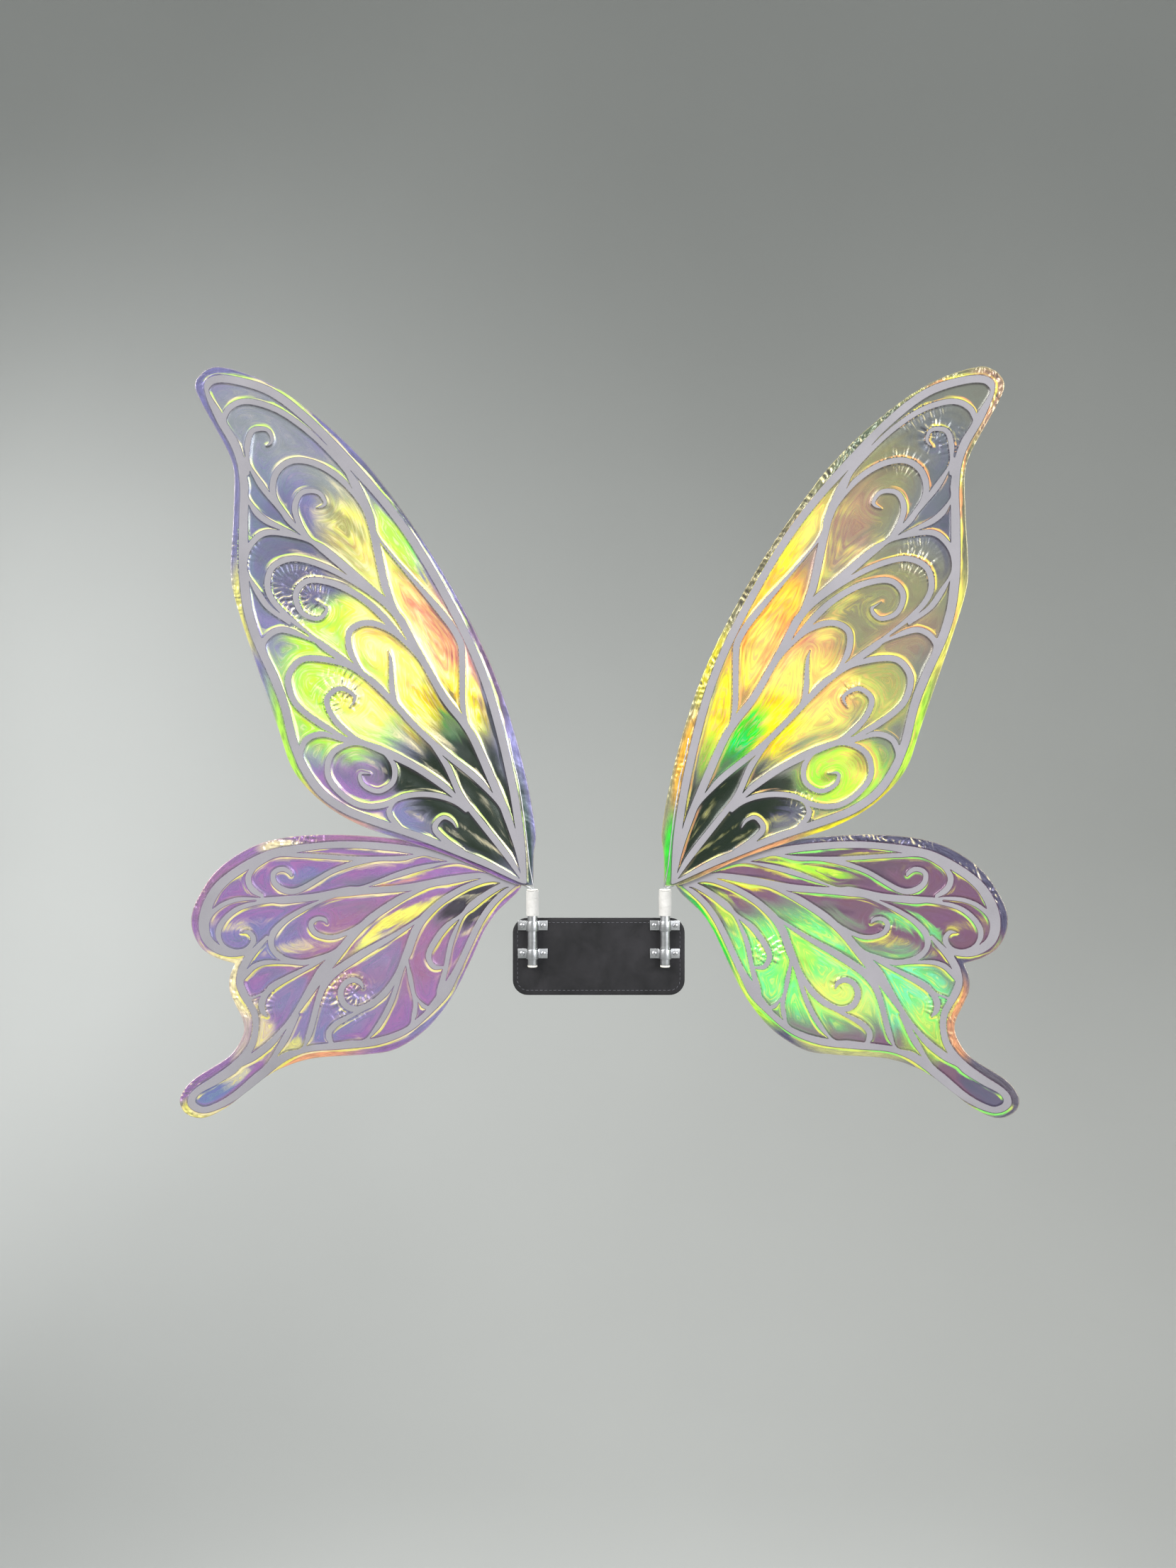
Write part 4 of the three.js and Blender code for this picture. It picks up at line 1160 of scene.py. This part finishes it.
def turned(name, corners, centre, bevel=0.3, steps=64, axis="Z", ripple=None):
    """A piece of revolution from closed [radius, height] corners in millimetres, about a Z or Y axis."""
    profile = rounded_profile(corners, bevel)
    points, rings = [], []
    for radius, height in profile:
        ring = []
        single = radius < 1e-6
        for k in range(1 if single else steps):
            angle = 2 * math.pi * k / steps
            r = radius + (ripple(angle, height, radius) if ripple else 0)
            flat = (r * math.cos(angle), r * math.sin(angle), height)
            if axis == "Y":
                flat = (flat[0], flat[2], -flat[1])
            ring.append(len(points))
            points.append(np.array(centre) + MM * np.array(flat))
        rings.append(ring)
    faces = []
    count = len(rings)
    for i in range(count):
        low, high = rings[i], rings[(i + 1) % count]
        if len(low) == 1 and len(high) == 1:
            continue
        for k in range(steps):
            n = (k + 1) % steps
            if len(low) == 1:
                faces.append((low[0], high[k], high[n]))
            elif len(high) == 1:
                faces.append((low[k], low[n], high[0]))
            else:
                faces.append((low[k], low[n], high[n], high[k]))
    return sharpen(make_mesh(name, points, faces), 40)


def tape_ripple(angle, height, radius):
    """The wrapped tape's overlapping turns, its small puckers and its uneven edge."""
    if radius < TAPE_SKIN:
        return 0
    turn = (height / TAPE_PITCH - angle / (2 * math.pi)) % 1
    overlap = TAPE_LAP * min(1, turn * 9) * (1 - turn * 0.55)
    pucker = 0.05 * math.sin(7 * angle + height * 0.9) * math.sin(height * 0.55 + 2 * math.sin(angle))
    return overlap + pucker - TAPE_SINK


def node_size(node, centre):
    """A round node's outer radius, lowest and highest point about an upright axis, in millimetres."""
    low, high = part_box(node)
    return (high.x - low.x) / 2 / MM, (low.z - centre[2]) / MM, (high.z - centre[2]) / MM


def crimped(angle, height, radius):
    """Four shallow flats round the post."""
    return -CRIMP_DEPTH * max(0, math.sin(4 * angle)) * (radius > CRIMP_SKIN)


def socket_pieces(side, plane, looks):
    centre = tuple(plane.origin)

    def make(name, node, body, slot, corners, bevel, look=None, steps=64, ripple=None):
        piece = turned(f"{side}_{name}", corners, centre, bevel, steps, ripple=ripple)
        place(piece, body, looks[look or slot], slot, f"{side}_{node}")

    outer, low, high = node_size(f"{side}_socket_tube", centre)
    bore = outer - TUBE_WALL
    corners = [(bore, low), (outer, low), (outer, high), (bore, high)]
    make("tube", "socket_tube", "base", "aluminium", corners, 0.3)
    wrap, low, high = node_size(f"{side}_socket_tape", centre)
    rows = [(wrap, up) for up in np.linspace(low, high, TAPE_ROWS)]
    corners = [(outer + TAPE_GAP, low), *rows, (outer + TAPE_GAP, high)]
    make("tape_wrap", "socket_tape", "base", "white_tape", corners, 0.35, "tape", 96, tape_ripple)
    flange, low, high = node_size(f"{side}_grip_bush", centre)
    neck = high - FLANGE_HEIGHT
    sleeve = [(BUSH_BORE, low), (SLEEVE, low), (SLEEVE, neck)]
    corners = [*sleeve, (flange, neck), (flange, high), (BUSH_BORE, high)]
    make("bush", "grip_bush", f"{side}_bush", "nylon", corners, 0.35)
    cap, low, high = node_size(f"{side}_tube_plug", centre)
    step = low + PLUG_CAP
    corners = [(0, low), (cap, low), (cap, step), (SLEEVE, step), (SLEEVE, high), (0, high)]
    make("plug", "tube_plug", "base", "nylon", corners, 0.5)
    radius, low, high = node_size(f"{side}_wing_post", centre)
    corners = [(0, low), (radius, low), (radius, high), (0, high)]
    make("post", "wing_post", f"{side}_wing", "steel", corners, 0.7, steps=48, ripple=crimped)
    for row in (1, 2):
        saddle(side, row, centre, looks)


def round_edges(shell):
    sharp = [e for e in shell.edges if e.calc_face_angle(0) > math.radians(50)]
    bmesh.ops.bevel(shell, geom=sharp, offset=0.25 * MM, segments=3, profile=0.5, affect="EDGES")
    bmesh.ops.triangulate(shell, faces=[f for f in shell.faces if len(f.verts) > 4])


def saddle(side, row, centre, looks):
    """A bent strap over the tube with a foot on each side."""
    node = f"{side}_saddle_{row}"
    low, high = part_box(node)
    outer = (centre[1] - low.y) / MM
    inner = outer - SADDLE_SHEET
    toe = (high.x - low.x) / 2 / MM
    foot = (high.y - centre[1]) / MM
    top = foot - SADDLE_SHEET
    arc = [(math.cos(a), -math.sin(a)) for a in np.linspace(0, math.pi, 33)]
    section = [(toe, top), (toe, foot), (inner, foot), *((inner * x, inner * y) for x, y in arc)]
    section += [(-inner, foot), (-toe, foot), (-toe, top), (-outer, top)]
    section += [*((outer * x, outer * y) for x, y in reversed(arc)), (outer, top)]
    count = len(section)
    points = [(centre[0] + x * MM, centre[1] + y * MM, z) for z in (low.z, high.z) for x, y in section]
    faces = [range(count), range(count, 2 * count), *walls([section], count)]
    piece = make_mesh(f"{side}_clip_{row}", points, faces)
    reshape(piece.data, round_edges)
    place(sharpen(piece, 35), "base", looks["aluminium"], "aluminium", node)


def rivets(looks):
    for index in range(1, 9):
        node = f"saddle_rivet_{index}"
        low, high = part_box(node)
        centre = ((low.x + high.x) / 2, low.y, (low.z + high.z) / 2)
        length = (high.y - low.y) / MM
        head = (high.x - low.x) / 2 / MM
        dome = [(0, 0), (head * 0.55, 0.15), (head * 0.92, 0.6), (head, RIVET_DOME)]
        corners = [*dome, (RIVET_SHANK, RIVET_DOME), (RIVET_SHANK, length), (0, length)]
        rivet = turned(f"rivet_{index}", corners, centre, 0.3, 40, axis="Y")
        place(rivet, "base", looks["steel"], "steel", node)


# ---- covered plate and pad
def round_rectangle(width, height, corner, steps=14):
    points = []
    for x, z, start in ((1, 1, 0), (-1, 1, 90), (-1, -1, 180), (1, -1, 270)):
        for k in range(steps + 1):
            a = math.radians(start + 90 * k / steps)
            points.append((x * (width / 2 - corner) + corner * math.cos(a),
                           z * (height / 2 - corner) + corner * math.sin(a)))
    return np.array(points)


def cushion_slab(name, node, corner, edge, rise, step=2.2):
    """A rounded slab in the node's place. Each face rises by rise(x, z, sign), with sign 1 for the back."""
    low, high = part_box(node)
    middle = (low + high) / 2
    width, depth, height = (high - low) / MM
    outline = smooth_even(round_rectangle(width, height, corner), step)
    border = Outline([outline], 0.5)
    xs, zs = (np.arange(outline[:, k].min(), outline[:, k].max(), step) for k in (0, 1))
    grid = np.array([(x, z) for z in zs for x in xs])
    grid = grid[inside(grid, [outline])]
    grid = grid[border.query(grid)[0] > 0.8 * step]
    rings = [outline + offset * loop_normals(outline) for offset in (edge * 0.15, edge * 0.45, edge * 0.8)]
    flat, faces = triangles(np.concatenate([outline, *rings, grid]), [outline])
    faces = faces[inside(flat[faces].mean(1), [outline])]
    away = border.query(flat)[0]
    rounding = np.sqrt(np.clip(1 - (1 - np.clip(away / edge, 0, 1)) ** 2, 0, 1))
    count = len(flat)
    half = depth / 2 * (RIM_SHARE + (1 - RIM_SHARE) * rounding)
    half[: len(outline)] = depth / 2 * RIM_SHARE
    points = []
    for sign in (-1, 1):
        bump = np.array([rise(x, z, sign) for x, z in flat]) * rounding
        depths = sign * (half + bump)
        points.append(np.column_stack([flat[:, 0] * MM + middle.x, depths * MM + middle.y,
                                       flat[:, 1] * MM + middle.z]))
    polygons = both_sides(faces, count) + walls([outline], count)
    return make_mesh(name, np.concatenate(points), polygons), outline, middle


def smooth_even(loop, step):
    """The closed loop, resampled at an even step."""
    ends = np.vstack([loop, loop[:1]])
    lengths = np.hypot(*np.diff(ends, axis=0).T)
    travelled = np.concatenate([[0], np.cumsum(lengths)])
    wanted = np.linspace(0, travelled[-1], int(travelled[-1] / step), endpoint=False)
    return np.column_stack([np.interp(wanted, travelled, ends[:, k]) for k in (0, 1)])


def stitches(name, outline, depth_at, body, material):
    """A row of raised stitches that follows the outline, a little way in."""
    path = smooth_even(outline + STITCH_INSET * loop_normals(outline), STITCH_PITCH)
    ahead = np.roll(path, -1, 0) - path
    points, faces = [], []
    for (x, z), (dx, dz) in zip(path, ahead):
        along = np.array([dx, dz]) / math.hypot(dx, dz)
        side = np.array([-along[1], along[0]])
        start = len(points)
        for t in np.linspace(0, 1, STITCH_RINGS):
            lift = STITCH_RADIUS * (0.1 + 1.2 * math.sin(math.pi * t))
            wide = STITCH_RADIUS * (0.35 + 0.65 * math.sin(math.pi * t) ** 0.5)
            at = np.array([x, z]) + along * (t - 0.5) * STITCH_LENGTH
            for k in range(STITCH_SIDES):
                a = 2 * math.pi * k / STITCH_SIDES
                p = at + side * wide * math.cos(a)
                points.append(depth_at(p[0], p[1], lift + wide * math.sin(a)))
        sleeve = walls([range(STITCH_SIDES)], STITCH_SIDES, STITCH_RINGS)
        faces += [tuple(start + corner for corner in quad) for quad in sleeve]
        faces += [range(start, start + STITCH_SIDES), range(len(points) - STITCH_SIDES, len(points))]
    piece = make_mesh(name, points, faces)
    return place(piece, body, material, "black_fabric")


def back_unit(looks):
    low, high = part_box("back_plate")

    def plate_face(x, z, sign):
        return 0.05 * math.sin(x / 9 + 2 * math.sin(z / 15)) + 0.03 * math.sin(z / 6 + x / 20)

    plate, outline, middle = cushion_slab("covered_plate", "back_plate", PLATE_CORNER, PLATE_EDGE, plate_face)
    place(plate, "base", looks["satin"], "black_fabric", "back_plate")
    face = (middle.y - low.y) / MM

    def on_plate(x, z, lift):
        return (middle.x + x * MM, middle.y - (face + lift - 0.05) * MM, middle.z + z * MM)

    stitches("plate_stitching", outline, on_plate, "base", looks["thread"])

    def pad_face(x, z, sign):
        seam = min(abs(x + PAD_SEAM), abs(x), abs(x - PAD_SEAM))
        channel = CHANNEL_DEPTH * math.exp(-((seam / CHANNEL_WIDTH) ** 2))
        crown = -PAD_CROWN * math.cos(math.pi * x / PAD_SEAM) ** 2
        return crown - channel - 0.2 if sign < 0 else -channel * 0.7 - 0.1

    pad, _, _ = cushion_slab("padded_back", "back_pad", PAD_CORNER, PAD_EDGE, pad_face)
    place(pad, "base", looks["felt"], "black_foam", "back_pad")


# ---- wings
def spar_wires(side, looks):
    for panel in ("upper", "lower"):
        node = frame["nodes"][f"{side}_{panel}_spar_wire"]
        weld = node.modifiers.new("weld", "WELD")
        weld.merge_threshold = 0.00002
        rounder = node.modifiers.new("round", "SUBSURF")
        rounder.levels = rounder.render_levels = 2
        node.data.polygons.foreach_set("use_smooth", [True] * len(node.data.polygons))
        node.data.materials.clear()
        node.data.materials.append(looks["steel"])


def wing(side, plane, looks):
    for number, panel in enumerate(("upper", "lower")):
        veins, loops = vein_frame(side, panel, plane)
        place(veins, f"{side}_wing", looks["veins"], "vein_board", f"{side}_{panel}_vein_frame")
        skin = film(side, panel, plane, loops, SEED + 10 * number + 100 * (SIDES[side] + 1))
        place(skin, f"{side}_wing", film_material(side, panel), f"{panel}_film",
              f"{side}_{panel}_film_front", f"{side}_{panel}_film_back")
    spar_wires(side, looks)


# ---- stage
def camera(edge_highlight):
    data = bpy.data.cameras.new("camera")
    data.lens = CAMERA_LENS
    data.sensor_width = 36
    view = add_object("camera", data)
    view.location = (-CAMERA_LEFT, edge_highlight[1] - CAMERA_DISTANCE, edge_highlight[2] + CAMERA_ABOVE_RIM)
    view.rotation_euler = (math.pi / 2, 0, 0)
    bpy.context.scene.camera = view


def area_light(name, location, target, size, power, colour=(1, 1, 1)):
    data = bpy.data.lights.new(name, "AREA")
    data.shape = "RECTANGLE"
    data.size, data.size_y = size
    data.energy = power
    data.color = colour
    data.spread = math.radians(LIGHT_SPREAD)
    light = add_object(name, data)
    light.location = location
    light.rotation_euler = (Vector(target) - Vector(location)).to_track_quat("-Z", "Y").to_euler()


def studio():
    scene = bpy.context.scene
    scene.view_settings.view_transform = "Standard"
    world = bpy.data.worlds.new("studio")
    world.use_nodes = True
    background = world.node_tree.nodes["Background"]
    background.inputs["Color"].default_value = (0.97, 1.0, 0.98, 1)
    background.inputs["Strength"].default_value = WORLD_LIGHT
    scene.world = world
    middle = (0, 0, 0.15)
    area_light("key", (-1.7, -1.5, 1.5), middle, (1.4, 1.8), 19, (1, 0.99, 0.97))
    area_light("fill", (1.6, -1.6, 0.7), middle, (1.4, 1.4), 10, (0.97, 0.98, 1))
    area_light("back", (0.4, 1.7, 1.6), middle, (1.8, 1.2), 8)
    area_light("wall", (-2.9, 0.9, 0.3), (-1.3, 2.6, 0.0), (0.8, 2.4), 10)
    overhead = bpy.data.lights.new("overhead", "SUN")
    overhead.energy = OVERHEAD_LIGHT
    overhead.angle = math.radians(60)
    add_object("overhead", overhead)
    backdrop()


def backdrop():
    """A pale floor that sweeps up into a wall well behind the object."""
    level = CAD_BOX[0].z - FLOOR_DROP
    foot = WALL_PLACE - SWEEP_RADIUS
    section = [(-FLOOR_REACH, level)]
    for a in np.linspace(0, math.pi / 2, 25):
        section.append((foot + SWEEP_RADIUS * math.sin(a), level + SWEEP_RADIUS * (1 - math.cos(a))))
    section.append((WALL_PLACE, level + WALL_HEIGHT))
    points = [(x, y, z) for y, z in section for x in (-FLOOR_REACH, FLOOR_REACH)]
    faces = [(2 * k, 2 * k + 1, 2 * k + 3, 2 * k + 2) for k in range(len(section) - 1)]
    floor = make_mesh("floor", points, faces)
    nodes = Nodes("pale_floor")
    soft = nodes.noise(nodes.place(), 0.6, 3)
    nodes.set(Base_Color=nodes.ramp(soft, [(0.3, screen(194, 196, 194)), (0.7, screen(202, 204, 202))]))
    nodes.set(Roughness=0.95)
    floor.data.materials.append(nodes.material)


# ---- make everything
def make_all():
    looks = {
        "veins": vein_material(), "steel": steel_material(), "aluminium": aluminium_material(),
        "nylon": nylon_material(), "tape": tape_material(), "satin": satin_material(),
        "felt": felt_material(), "thread": thread_material(),
    }
    planes = {side: WingPlane(side) for side in SIDES}
    camera(planes["right"].origin)
    studio()
    back_unit(looks)
    rivets(looks)
    for side, plane in planes.items():
        socket_pieces(side, plane, looks)
        wing(side, plane, looks)


make_all()
